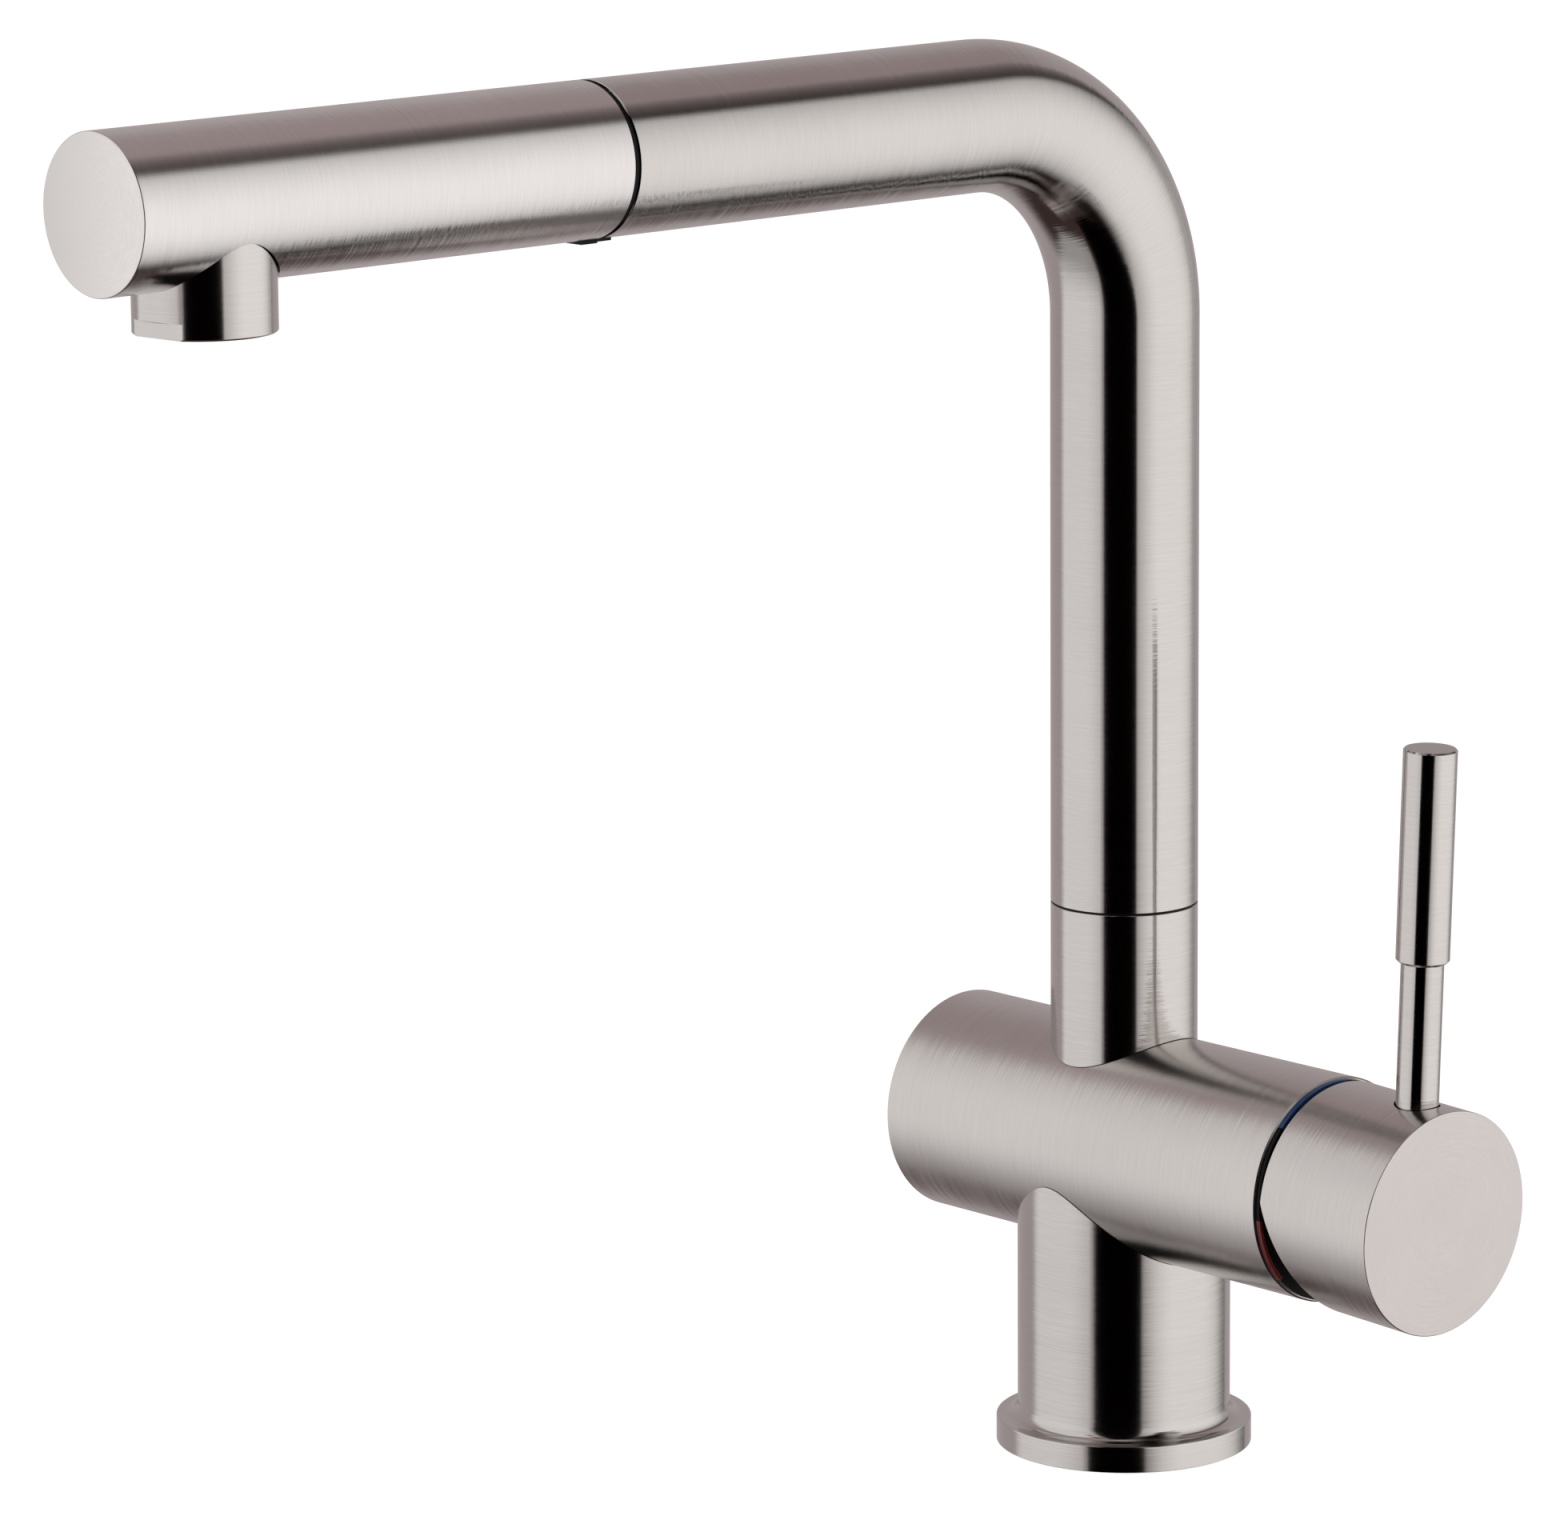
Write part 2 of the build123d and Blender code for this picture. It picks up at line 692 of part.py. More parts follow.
export_step(head_waterway.part, "parts/head_waterway.step")

# Nozzle housing: screwed up into the waterway, with two wrench flats at its lower rim
with BuildPart() as nozzle_housing:
    with BuildSketch(nozzle_section):
        with BuildLine():
            Polyline(
                (nozzle_bore, nozzle_bottom),
                (nozzle_radius - edge_break, nozzle_bottom),
                (nozzle_radius, nozzle_bottom + edge_break),
                (nozzle_radius, nozzle_top),
                (neck_radius, nozzle_top),
                (neck_radius, neck_groove_foot),
                (neck_groove_floor, neck_groove_foot),
                (neck_groove_floor, neck_groove_foot + neck_seal_groove),
                (neck_radius, neck_groove_foot + neck_seal_groove),
                (neck_radius, nozzle_top + neck_height),
                (neck_bore, nozzle_top + neck_height),
                (neck_bore, nozzle_shelf),
                (nozzle_bore, nozzle_shelf),
                close=True,
            )
        make_face()
    revolve(axis=nozzle_axis)
    with BuildSketch(nozzle_plane.offset(nozzle_bottom)):
        Circle(nozzle_radius)
        Rectangle(
            2 * (nozzle_radius - flat_depth),
            2 * nozzle_radius,
            rotation=flat_bearing,
            mode=Mode.SUBTRACT,
        )
    extrude(amount=flat_height, mode=Mode.SUBTRACT)
nozzle_housing.part.label = "nozzle_housing"
export_step(nozzle_housing.part, "parts/nozzle_housing.step")

# Neck seal between the nozzle housing and the waterway
with BuildPart() as neck_seal:
    with BuildSketch(nozzle_section):
        with Locations((neck_radius - neck_seal_section, neck_groove_foot + neck_seal_groove / 2)):
            RegularPolygon(
                neck_seal_section, seal_sides, major_radius=False, rotation=180 / seal_sides
            )
    revolve(axis=nozzle_axis)
neck_seal.part.label = "neck_seal"
export_step(neck_seal.part, "parts/neck_seal.step")

# Jet former: a cup whose floor is a honeycomb of water channels
with BuildPart() as jet_former:
    with BuildSketch(nozzle_plane.offset(former_bottom)):
        Circle(former_radius)
    extrude(amount=former_height)
    with BuildSketch(nozzle_plane.offset(former_bottom + former_floor)):
        Circle(former_radius - former_wall)
    extrude(amount=former_height, mode=Mode.SUBTRACT)
    with BuildSketch(nozzle_plane.offset(former_bottom)):
        with HexLocations(former_cell_pitch / 2, former_rows, former_rows) as cells:
            cell_spots = [
                spot
                for spot in cells.local_locations
                if spot.position.length < former_radius - former_wall - former_cell
            ]
        with Locations(*cell_spots):
            RegularPolygon(former_cell, 6)
    extrude(amount=former_floor, mode=Mode.SUBTRACT)
jet_former.part.label = "jet_former"
export_step(jet_former.part, "parts/jet_former.step")

# Former seal, squeezed between the jet former and the housing's shelf
with BuildPart() as former_seal:
    with BuildSketch(nozzle_plane.offset(former_top)):
        Circle(former_radius)
        Circle(neck_bore, mode=Mode.SUBTRACT)
    extrude(amount=former_seal_height)
former_seal.part.label = "former_seal"
export_step(former_seal.part, "parts/former_seal.step")

# Check valve cage: seat at the inlet, three-armed guide at the outlet
with BuildPart() as check_cage:
    with BuildSketch(arm_plane.offset(thread_floor)):
        Circle(check_chamber_radius - close_fit)
    extrude(amount=check_length)
    with BuildSketch(arm_plane.offset(thread_floor)):
        Circle(check_seat_bore)
    extrude(amount=check_length - check_guide_length, mode=Mode.SUBTRACT)
    with BuildSketch(arm_plane.offset(thread_floor + check_seat_length)):
        Circle(check_bore)
    extrude(amount=check_length - check_seat_length - check_guide_length, mode=Mode.SUBTRACT)
    with BuildSketch(arm_plane.offset(check_end - check_guide_length)):
        Circle(poppet_stem_radius + running_fit)
        with PolarLocations((check_bore + poppet_stem_radius) / 2, check_arm_count):
            Circle(check_window_radius)
    extrude(amount=check_guide_length, mode=Mode.SUBTRACT)
check_cage.part.label = "check_valve_cage"
export_step(check_cage.part, "parts/check_valve_cage.step")

# Check valve poppet: a mushroom whose stem slides in the guide
with BuildPart() as check_poppet:
    with BuildSketch(arm_section):
        with BuildLine():
            Polyline(
                (poppet_start, 0),
                (poppet_start, poppet_radius),
                (poppet_start + poppet_collar, poppet_radius),
                (poppet_start + 2 * poppet_collar, poppet_stem_radius),
                (check_end, poppet_stem_radius),
                (check_end, 0),
                close=True,
            )
        make_face()
    revolve(axis=arm_axis)
check_poppet.part.label = "check_valve_poppet"
export_step(check_poppet.part, "parts/check_valve_poppet.step")

# Check valve spring, wound round the poppet's stem
spring_start = poppet_start + 2 * poppet_collar + check_spring_wire
spring_end = check_end - check_guide_length - 2 * check_spring_wire
spring_length = spring_end - spring_start
with BuildPart() as check_spring:
    with BuildLine() as spring_route:
        Helix(
            pitch=spring_length / check_spring_turns,
            height=spring_length,
            radius=check_spring_radius,
            center=(0, -spring_start, arm_height),
            direction=(0, -1, 0),
        )
    with BuildSketch(Plane(origin=spring_route.line @ 0, z_dir=spring_route.line % 0)):
        RegularPolygon(check_spring_wire, check_spring_sides)
    sweep(path=spring_route.wires()[0])
check_spring.part.label = "check_valve_spring"
export_step(check_spring.part, "parts/check_valve_spring.step")

# Hose end: nut with a threaded nose, its washer, the crimped ferrule and the hose
with BuildPart() as hose_nut:
    with BuildSketch(arm_plane.offset(nut_start)):
        RegularPolygon(hose_nut_radius, 6)
        Circle(hose_nut_radius * cos(radians(30)) + edge_break, mode=Mode.INTERSECT)
    extrude(amount=hose_nut_length)
    with BuildSketch(arm_plane.offset(nut_end)):
        Circle(inlet_thread_bore - close_fit)
    extrude(amount=nut_nose_end - nut_end)
    with BuildSketch(arm_plane.offset(nut_start)):
        Circle(hose_nut_bore)
    extrude(amount=nut_nose_end - nut_start, mode=Mode.SUBTRACT)
hose_nut.part.label = "hose_nut"
export_step(hose_nut.part, "parts/hose_nut.step")

with BuildPart() as hose_washer:
    with BuildSketch(arm_plane.offset(nut_nose_end)):
        Circle(inlet_thread_bore - close_fit)
        Circle(hose_nut_bore, mode=Mode.SUBTRACT)
    extrude(amount=hose_washer_height)
hose_washer.part.label = "hose_washer"
export_step(hose_washer.part, "parts/hose_washer.step")

with BuildPart() as hose_ferrule:
    with BuildSketch(arm_plane.offset(ferrule_start)):
        Circle(hose_radius + ferrule_wall)
        Circle(hose_radius, mode=Mode.SUBTRACT)
    extrude(amount=ferrule_length)
hose_ferrule.part.label = "hose_ferrule"
export_step(hose_ferrule.part, "parts/hose_ferrule.step")

with BuildPart() as hose_in_arm:
    with BuildSketch(arm_plane.offset(bend_radius + free_gap)):
        Circle(hose_radius)
        Circle(hose_bore, mode=Mode.SUBTRACT)
    extrude(amount=nut_start - bend_radius - free_gap)
hose_in_arm.part.label = "hose_in_arm"
export_step(hose_in_arm.part, "parts/hose_in_arm.step")

with BuildPart() as hose_in_spout:
    with BuildLine(Plane.YZ) as hose_route:
        FilletPolyline(
            (0, seam_height + free_gap),
            (0, arm_height),
            (-bend_radius, arm_height),
            radius=bend_radius - close_fit,
        )
    with BuildSketch(Plane.XY.offset(seam_height + free_gap)):
        Circle(hose_radius)
    sweep(path=hose_route.wires()[0])
    with BuildSketch(Plane.XY.offset(seam_height + free_gap)):
        Circle(hose_bore)
    sweep(path=hose_route.wires()[0], mode=Mode.SUBTRACT)
hose_in_spout.part.label = "hose_in_spout"
export_step(hose_in_spout.part, "parts/hose_in_spout.step")

with BuildPart() as hose_in_body:
    with BuildSketch(Plane.XY.offset(hose_cut_height)):
        Circle(hose_radius)
        Circle(hose_bore, mode=Mode.SUBTRACT)
    extrude(amount=seam_height - hose_cut_height)
hose_in_body.part.label = "hose_in_body"
export_step(hose_in_body.part, "parts/hose_in_body.step")

# Valve seat: a brass block across the barrel, hollowed for the hose, with three sockets
# below for the supplies and three channels to the cartridge
with BuildPart() as valve_seat:
    with BuildSketch(barrel_plane.offset(seat_start)):
        Circle(barrel_bore - close_fit)
    extrude(amount=seat_face - seat_start)
    with BuildSketch(Plane.XY):
        Circle(hose_passage)
    extrude(amount=2 * barrel_height, mode=Mode.SUBTRACT)
    with BuildSketch(Plane.XY.offset(seat_floor)):
        Rectangle(2 * barrel_length, 2 * barrel_radius)
    extrude(amount=-barrel_radius, mode=Mode.SUBTRACT)
    for side, rise in channel_points:
        port_x = sqrt(port_circle**2 - side**2)
        with BuildSketch(Plane.XY.offset(seat_floor)):
            with Locations((port_x, side)):
                Circle(port_bore)
        extrude(amount=port_depth, mode=Mode.SUBTRACT)
        with BuildSketch(Plane.XY.offset(seat_floor)):
            with Locations((port_x, side)):
                Circle(channel_bore)
        extrude(amount=barrel_height + rise - seat_floor, mode=Mode.SUBTRACT)
        with BuildSketch(barrel_plane.offset(seat_face)):
            with Locations((side, rise)):
                Circle(channel_bore)
        extrude(amount=port_x - channel_bore - seat_face, mode=Mode.SUBTRACT)
    with BuildSketch(barrel_plane.offset(seat_face)):
        with Locations((key_circle, 0), (-key_circle, 0)):
            Circle(key_radius + close_fit)
    extrude(amount=-key_length - close_fit, mode=Mode.SUBTRACT)
valve_seat.part.label = "valve_seat"
export_step(valve_seat.part, "parts/valve_seat.step")

# Cartridge base plate with its two locating keys and three sealed ports
with BuildPart() as cartridge_base:
    with BuildSketch(barrel_plane.offset(seat_face)):
        Circle(cartridge_radius)
        with Locations(*channel_points):
            Circle(channel_bore, mode=Mode.SUBTRACT)
    extrude(amount=base_plate_height)
    with BuildSketch(barrel_plane.offset(seat_face)):
        with Locations(*channel_points):
            Circle(seal_recess)
    extrude(amount=2 * port_seal_section, mode=Mode.SUBTRACT)
    with BuildSketch(barrel_plane.offset(seat_face)):
        with Locations((key_circle, 0), (-key_circle, 0)):
            Circle(key_radius)
    extrude(amount=-key_length)
cartridge_base.part.label = "cartridge_base"
export_step(cartridge_base.part, "parts/cartridge_base.step")

with BuildPart() as port_seals:
    with BuildSketch(barrel_plane.offset(seat_face)):
        with Locations(*channel_points):
            Circle(seal_recess - close_fit)
            Circle(channel_bore + close_fit, mode=Mode.SUBTRACT)
    extrude(amount=2 * port_seal_section - close_fit)
port_seals.part.label = "port_seals"
export_step(port_seals.part, "parts/port_seals.step")

# Fixed ceramic disc: two curved inlets and one round outlet
with BuildPart() as fixed_disc:
    with BuildSketch(barrel_plane.offset(fixed_disc_start)):
        Circle(cartridge_bore - thrust_gap)
        for bearing in (middle_bearing - inlet_spread, middle_bearing + inlet_spread):
            slot_start = 90 + bearing - disc_slot_arc / 2
            slot_line = CenterArc((0, 0), disc_slot_circle, slot_start, disc_slot_arc)
            SlotArc(slot_line, disc_slot_width, mode=Mode.SUBTRACT)
        with Locations(bearing_point(outlet_bearing, disc_outlet_circle)):
            Circle(disc_outlet_radius, mode=Mode.SUBTRACT)
    extrude(amount=fixed_disc_height)
fixed_disc.part.label = "fixed_disc"
export_step(fixed_disc.part, "parts/fixed_disc.step")

# Moving ceramic disc: the blind pocket in its face joins inlets and outlet
with BuildPart() as moving_disc:
    with BuildSketch(barrel_plane.offset(moving_disc_start)):
        with Locations((0, disc_rest)):
            Circle(moving_disc_radius)
    extrude(amount=moving_disc_height)
    with BuildSketch(barrel_plane.offset(moving_disc_start)):
        with Locations((0, disc_rest + (pocket_top - pocket_bottom) / 2)):
            RectangleRounded(
                2 * pocket_half_width, pocket_top + pocket_bottom, pocket_half_width / 2
            )
    extrude(amount=pocket_depth, mode=Mode.SUBTRACT)
moving_disc.part.label = "moving_disc"
export_step(moving_disc.part, "parts/moving_disc.step")

# Disc carrier: a plastic cap on the moving disc, with the socket for the lever's ball
with BuildPart() as disc_carrier:
    with BuildSketch(barrel_plane.offset(carrier_start)):
        with Locations((0, disc_rest)):
            Circle(moving_disc_radius)
    extrude(amount=carrier_height)
    with BuildSketch(barrel_plane.offset(carrier_end)):
        with Locations((0, ball_rest)):
            Circle(stem_ball_radius + stem_ball_fit)
    extrude(amount=carrier_start + carrier_floor - carrier_end, mode=Mode.SUBTRACT)
disc_carrier.part.label = "disc_carrier"
export_step(disc_carrier.part, "parts/disc_carrier.step")

# Cartridge housing: a cup over the discs with a neck for the driver
with BuildPart() as cartridge_housing:
    with BuildSketch(barrel_section):
        with BuildLine():
            Polyline(
                (fixed_disc_start, cartridge_bore),
                (fixed_disc_start, cartridge_radius),
                (nut_foot, cartridge_radius),
                (nut_foot, housing_neck_radius),
                (housing_end, housing_neck_radius),
                (housing_end, driver_radius + running_fit),
                (housing_shoulder, driver_radius + running_fit),
                (housing_shoulder, cartridge_bore),
                close=True,
            )
        make_face()
    revolve(axis=barrel_axis)
cartridge_housing.part.label = "cartridge_housing"
export_step(cartridge_housing.part, "parts/cartridge_housing.step")

# Driver: turns in the housing's neck and carries the pivot pin across the stem's slot
with BuildPart() as driver:
    with BuildSketch(barrel_plane.offset(driver_flange_start)):
        Circle(cartridge_bore - 2 * thrust_gap)
    extrude(amount=driver_flange_height)
    with BuildSketch(barrel_plane.offset(driver_flange_start)):
        Circle(driver_radius)
    extrude(amount=driver_end - driver_flange_start)
    with BuildSketch(barrel_plane.offset(driver_flange_start)):
        Rectangle(stem_width + 2 * free_gap, 2 * driver_slot_half_height)
    extrude(amount=driver_end - driver_flange_start, mode=Mode.SUBTRACT)
    with BuildSketch(pin_plane):
        Circle(pivot_pin_radius)
    extrude(amount=driver_radius, both=True, mode=Mode.SUBTRACT)
driver.part.label = "driver"
export_step(driver.part, "parts/driver.step")

with BuildPart() as pivot_pin:
    with BuildSketch(pin_plane):
        Circle(pivot_pin_radius)
    extrude(amount=driver_radius - pivot_pin_recess, both=True)
pivot_pin.part.label = "pivot_pin"
export_step(pivot_pin.part, "parts/pivot_pin.step")

# Retaining nut round the housing's neck, with four slots for its key
with BuildPart() as retaining_nut:
    with BuildSketch(barrel_plane.offset(nut_foot)):
        Circle(barrel_bore - close_fit)
        Circle(housing_neck_radius + close_fit, mode=Mode.SUBTRACT)
    extrude(amount=retaining_nut_height)
    with BuildSketch(barrel_plane.offset(nut_top)):
        with PolarLocations((barrel_bore + housing_neck_radius) / 2, nut_slot_count):
            Rectangle(barrel_bore, nut_slot_width)
    extrude(amount=-nut_slot_depth, mode=Mode.SUBTRACT)
retaining_nut.part.label = "retaining_nut"
export_step(retaining_nut.part, "parts/retaining_nut.step")

# Temperature ring: a sleeve in the barrel's mouth, a rim that shows and a dome that
# closes the view past the lever cap
with BuildPart() as temperature_ring:
    with BuildSketch(barrel_section):
        with BuildLine():
            Polyline(
                (web_start, web_radius),
                (web_start, ring_sleeve_radius - ring_sleeve_wall),
                (ring_sleeve_start, ring_sleeve_radius - ring_sleeve_wall),
                (ring_sleeve_start, ring_sleeve_radius),
                (barrel_right, ring_sleeve_radius),
                (barrel_right, ring_radius),
                (ring_front, ring_radius),
                (ring_front, rim_root),
            )
            RadiusArc((ring_front, rim_root), (mouth_outer, dome_mouth), dome_radius)
            Line((mouth_outer, dome_mouth), (mouth_inner, dome_mouth))
            RadiusArc((mouth_inner, dome_mouth), (web_start, web_radius), -dome_inner)
        make_face()
    revolve(axis=barrel_axis)
    for mark_from, mark_to in mark_arcs:
        with BuildSketch(mark_plane(mark_to)):
            with Locations((barrel_right + mark_rim / 2, ring_radius)):
                Rectangle(mark_rim, 2 * mark_depth)
        revolve(axis=barrel_axis, revolution_arc=mark_to - mark_from, mode=Mode.SUBTRACT)
temperature_ring.part.label = "temperature_ring"
export_step(temperature_ring.part, "parts/temperature_ring.step")

# Cold and hot marks, coloured inlays in the ring's rim
for mark_name, (mark_from, mark_to) in zip(("cold_mark", "hot_mark"), mark_arcs):
    with BuildPart() as mark:
        with BuildSketch(mark_plane(mark_to)):
            with Locations((barrel_right + mark_rim / 2, ring_radius + mark_proud)):
                Rectangle(mark_rim, mark_depth + mark_proud, align=(Align.CENTER, Align.MAX))
        revolve(axis=barrel_axis, revolution_arc=mark_to - mark_from)
    mark.part.label = mark_name
    export_step(mark.part, f"parts/{mark_name}.step")

# Lever stem: a square bar that rocks on the pivot pin, with a ball that moves the discs
with BuildPart() as lever_stem:
    with BuildSketch(lever_plane.offset(-stem_inner_end)):
        Rectangle(stem_width, stem_height)
    extrude(amount=stem_inner_end + stem_tip)
    stem_end = lever_stem.faces().sort_by(lever_axis)[-1].edges()
    chamfer(stem_end, edge_break)
    with BuildSketch(lever_plane):
        Circle(stem_arm_radius)
    extrude(amount=-stem_arm)
    with Locations(lever_plane.offset(-stem_arm)):
        Sphere(stem_ball_radius)
    with BuildSketch(pin_plane):
        Circle(pivot_pin_radius + running_fit)
    extrude(amount=stem_width, both=True, mode=Mode.SUBTRACT)
lever_stem.part.label = "lever_stem"
export_step(lever_stem.part, "parts/lever_stem.step")

# Lever cap: turned from solid, bored from behind to swing over the dome, bevelled below
# so that it clears the barrel when the lever is lifted out
bevel_drop = cap_radius + cap_bevel_start
bevel_run = bevel_drop * tan(radians(full_tilt + cap_bevel_margin))
with BuildPart() as lever_cap:
    with BuildSketch(lever_plane.offset(cap_rear)):
        Circle(cap_radius)
    extrude(amount=cap_length)
    chamfer(lever_cap.faces().sort_by(lever_axis)[-1].edges(), edge_break)
    with BuildSketch(lever_plane.offset(cap_rear)):
        Circle(cap_radius - cap_wall)
    extrude(amount=cap_bore_end - cap_rear, mode=Mode.SUBTRACT)
    with BuildSketch(lever_section):
        with BuildLine():
            Polyline(
                (cap_rear - cap_wall, cap_bevel_start),
                (cap_rear, cap_bevel_start),
                (cap_rear + bevel_run, cap_bevel_start - bevel_drop),
                (cap_rear - cap_wall, cap_bevel_start - bevel_drop),
                close=True,
            )
        make_face()
    extrude(amount=cap_radius, both=True, mode=Mode.SUBTRACT)
    with BuildSketch(lever_plane.offset(cap_bore_end)):
        Rectangle(stem_width + 2 * close_fit, stem_height + 2 * close_fit)
    extrude(amount=stem_tip + free_gap - cap_bore_end, mode=Mode.SUBTRACT)
    with BuildSketch(rod_plane):
        Circle(rod_thread_radius)
    extrude(amount=cap_radius, mode=Mode.SUBTRACT)
    with BuildSketch(rod_plane.offset(rod_seat)):
        Circle(rod_radius + rod_hole_gap)
    extrude(amount=cap_radius, mode=Mode.SUBTRACT)
lever_cap.part.label = "lever_cap"
export_step(lever_cap.part, "parts/lever_cap.step")

# Set screw under the rod: it clamps the cap on the stem, and the rod's nose covers it
with BuildPart() as set_screw:
    with BuildSketch(rod_plane.offset(stem_height / 2)):
        Circle(rod_thread_radius - close_fit)
    extrude(amount=set_screw_end - stem_height / 2)
    with BuildSketch(rod_plane.offset(set_screw_end)):
        RegularPolygon(set_screw_key, 6)
    extrude(amount=-set_screw_key_depth, mode=Mode.SUBTRACT)
set_screw.part.label = "lever_set_screw"
export_step(set_screw.part, "parts/lever_set_screw.step")

# Lever rod: threaded nose, plain shaft and a spigot for the grip
with BuildPart() as lever_rod:
    with BuildSketch(rod_plane.offset(rod_nose_start)):
        Circle(rod_thread_radius - close_fit)
    extrude(amount=rod_nose_length)
    with BuildSketch(rod_plane.offset(rod_seat)):
        Circle(rod_radius)
    extrude(amount=grip_start - rod_seat)
    with BuildSketch(rod_plane.offset(grip_start)):
        Circle(rod_thread_radius - close_fit)
    extrude(amount=grip_socket_depth - edge_break)
lever_rod.part.label = "lever_rod"
export_step(lever_rod.part, "parts/lever_rod.step")

# Lever grip, the thicker sleeve on the rod's end
with BuildPart() as lever_grip:
    with BuildSketch(rod_plane.offset(grip_start)):
        Circle(grip_radius)
    extrude(amount=grip_length)
    grip_ends = lever_grip.edges().filter_by(GeomType.CIRCLE).sort_by(Axis.Z)
    chamfer(grip_ends[0], grip_edge)
    chamfer(grip_ends[-1], edge_break)
    with BuildSketch(rod_plane.offset(grip_start)):
        Circle(rod_thread_radius)
    extrude(amount=grip_socket_depth, mode=Mode.SUBTRACT)
lever_grip.part.label = "lever_grip"
export_step(lever_grip.part, "parts/lever_grip.step")
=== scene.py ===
# %% [markdown]
# # A pull-out kitchen faucet in brushed steel
#
# The CAD model is loaded as a fixed frame: every piece of it keeps its place, and the pieces
# that a visitor sees are modelled again here with finer edges, joints and brushing. Nothing
# below moves a CAD piece. Each new piece rides on the body that carries it, so that the spout
# swings, the head pulls out and the lever tilts with what is dressed on them.

# %% Load the fixed frame
import json
from math import acos, asin, atan2, cos, hypot, pi, radians, sin

import bpy
from mathutils import Matrix, Vector


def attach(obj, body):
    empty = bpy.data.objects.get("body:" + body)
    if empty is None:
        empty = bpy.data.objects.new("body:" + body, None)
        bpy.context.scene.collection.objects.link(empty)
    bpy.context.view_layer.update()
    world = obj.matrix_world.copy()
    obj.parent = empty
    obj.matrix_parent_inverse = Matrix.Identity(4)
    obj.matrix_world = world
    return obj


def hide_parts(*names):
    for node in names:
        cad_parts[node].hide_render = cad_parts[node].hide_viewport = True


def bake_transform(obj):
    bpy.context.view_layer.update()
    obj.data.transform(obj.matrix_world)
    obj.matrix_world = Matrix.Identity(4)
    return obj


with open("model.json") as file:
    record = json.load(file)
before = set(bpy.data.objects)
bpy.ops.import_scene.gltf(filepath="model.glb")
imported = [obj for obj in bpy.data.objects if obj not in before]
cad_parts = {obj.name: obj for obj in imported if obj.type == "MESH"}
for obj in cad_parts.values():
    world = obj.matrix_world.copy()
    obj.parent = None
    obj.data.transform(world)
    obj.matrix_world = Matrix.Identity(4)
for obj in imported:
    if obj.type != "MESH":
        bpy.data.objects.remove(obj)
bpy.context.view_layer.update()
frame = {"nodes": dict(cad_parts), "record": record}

# %% [markdown]
# ## Sizes
#
# The faucet is drawn in millimetres and built in metres, so each size is written once in
# millimetres and multiplied by one constant. They are the sizes of the CAD source: a piece
# made here has to stand exactly where the one that it stands for stood.

# %% Sizes of the tubes, the foot and the joints
mm = 0.001
barrel_radius, barrel_wall, barrel_height = 21.3 * mm, 2.0 * mm, 59.7 * mm
barrel_left, barrel_right = 43.9 * mm, 55.8 * mm
post_radius, post_bore = 20.4 * mm, 18.2 * mm
foot_radius, foot_bottom, foot_top, foot_blend = 24.5 * mm, 0.9 * mm, 5.1 * mm, 2.6 * mm
tube_radius, tube_wall, riser_wall = 14.0 * mm, 1.2 * mm, 1.6 * mm
seam_height, tube_foot, stop_height = 105.9 * mm, 106.3 * mm, 92.65 * mm
bend_radius, arm_height, arm_reach = 40.2 * mm, 258.7 * mm, 131.4 * mm
head_start, head_end, head_bore, head_end_wall = 132.65 * mm, 239.5 * mm, 13.0 * mm, 1.6 * mm
nozzle_reach, nozzle_radius, nozzle_bore = 216.7 * mm, 12.4 * mm, 10.2 * mm
nozzle_bottom, nozzle_top, nozzle_shelf = 236.9 * mm, 254.5 * mm, 249.0 * mm
tab_width, tab_tail, tab_nose = 4.0 * mm, 128.2 * mm, 135.7 * mm
print("arm:", round(arm_height / mm, 1), "mm up, head end:", round(head_end / mm, 1), "mm out")

# %% Sizes of the temperature ring and the lever
ring_radius, ring_front, dome_radius, dome_mouth = 20.8 * mm, 56.7 * mm, 17.5 * mm, 11.0 * mm
pivot_reach, closed_tilt, bevel_angle = 48.9 * mm, radians(2.2), radians(22.5)
cap_radius, cap_wall, cap_rear, cap_face = 21.2 * mm, 2.4 * mm, 8.14 * mm, 34.84 * mm
cap_bore_end, rod_line = 20.5 * mm, 26.94 * mm
rod_radius, rod_seat, grip_radius = 4.0 * mm, 14.0 * mm, 5.0 * mm
grip_start, grip_end = 48.1 * mm, 88.1 * mm
flat_depth, flat_height, flat_bearing = 1.4 * mm, 2.9 * mm, radians(-83)
soft_edge, fine_edge, hold_distance, merge_distance = 0.3 * mm, 0.08 * mm, 0.04 * mm, 0.001 * mm
sharp_angle = radians(24)
print("lever cap:", round((pivot_reach + cap_face) / mm, 1), "mm out from the middle")

# %% [markdown]
# ## Working planes
#
# Every tube of the faucet is a turned shape, and it is easiest to turn all of them round the
# upright axis and to lay them down afterwards. A plane is a matrix whose third column is the
# tube's axis, so laying a piece down is one matrix.


# %% Planes of the barrel, the arm and the tilted lever
def plane(origin, x_dir, z_dir):
    """A working plane as a matrix: its local z runs along a tube's axis."""
    x_dir, z_dir = Vector(x_dir).normalized(), Vector(z_dir).normalized()
    turned = Matrix((x_dir, z_dir.cross(x_dir), z_dir)).transposed().to_4x4()
    return Matrix.Translation(origin) @ turned


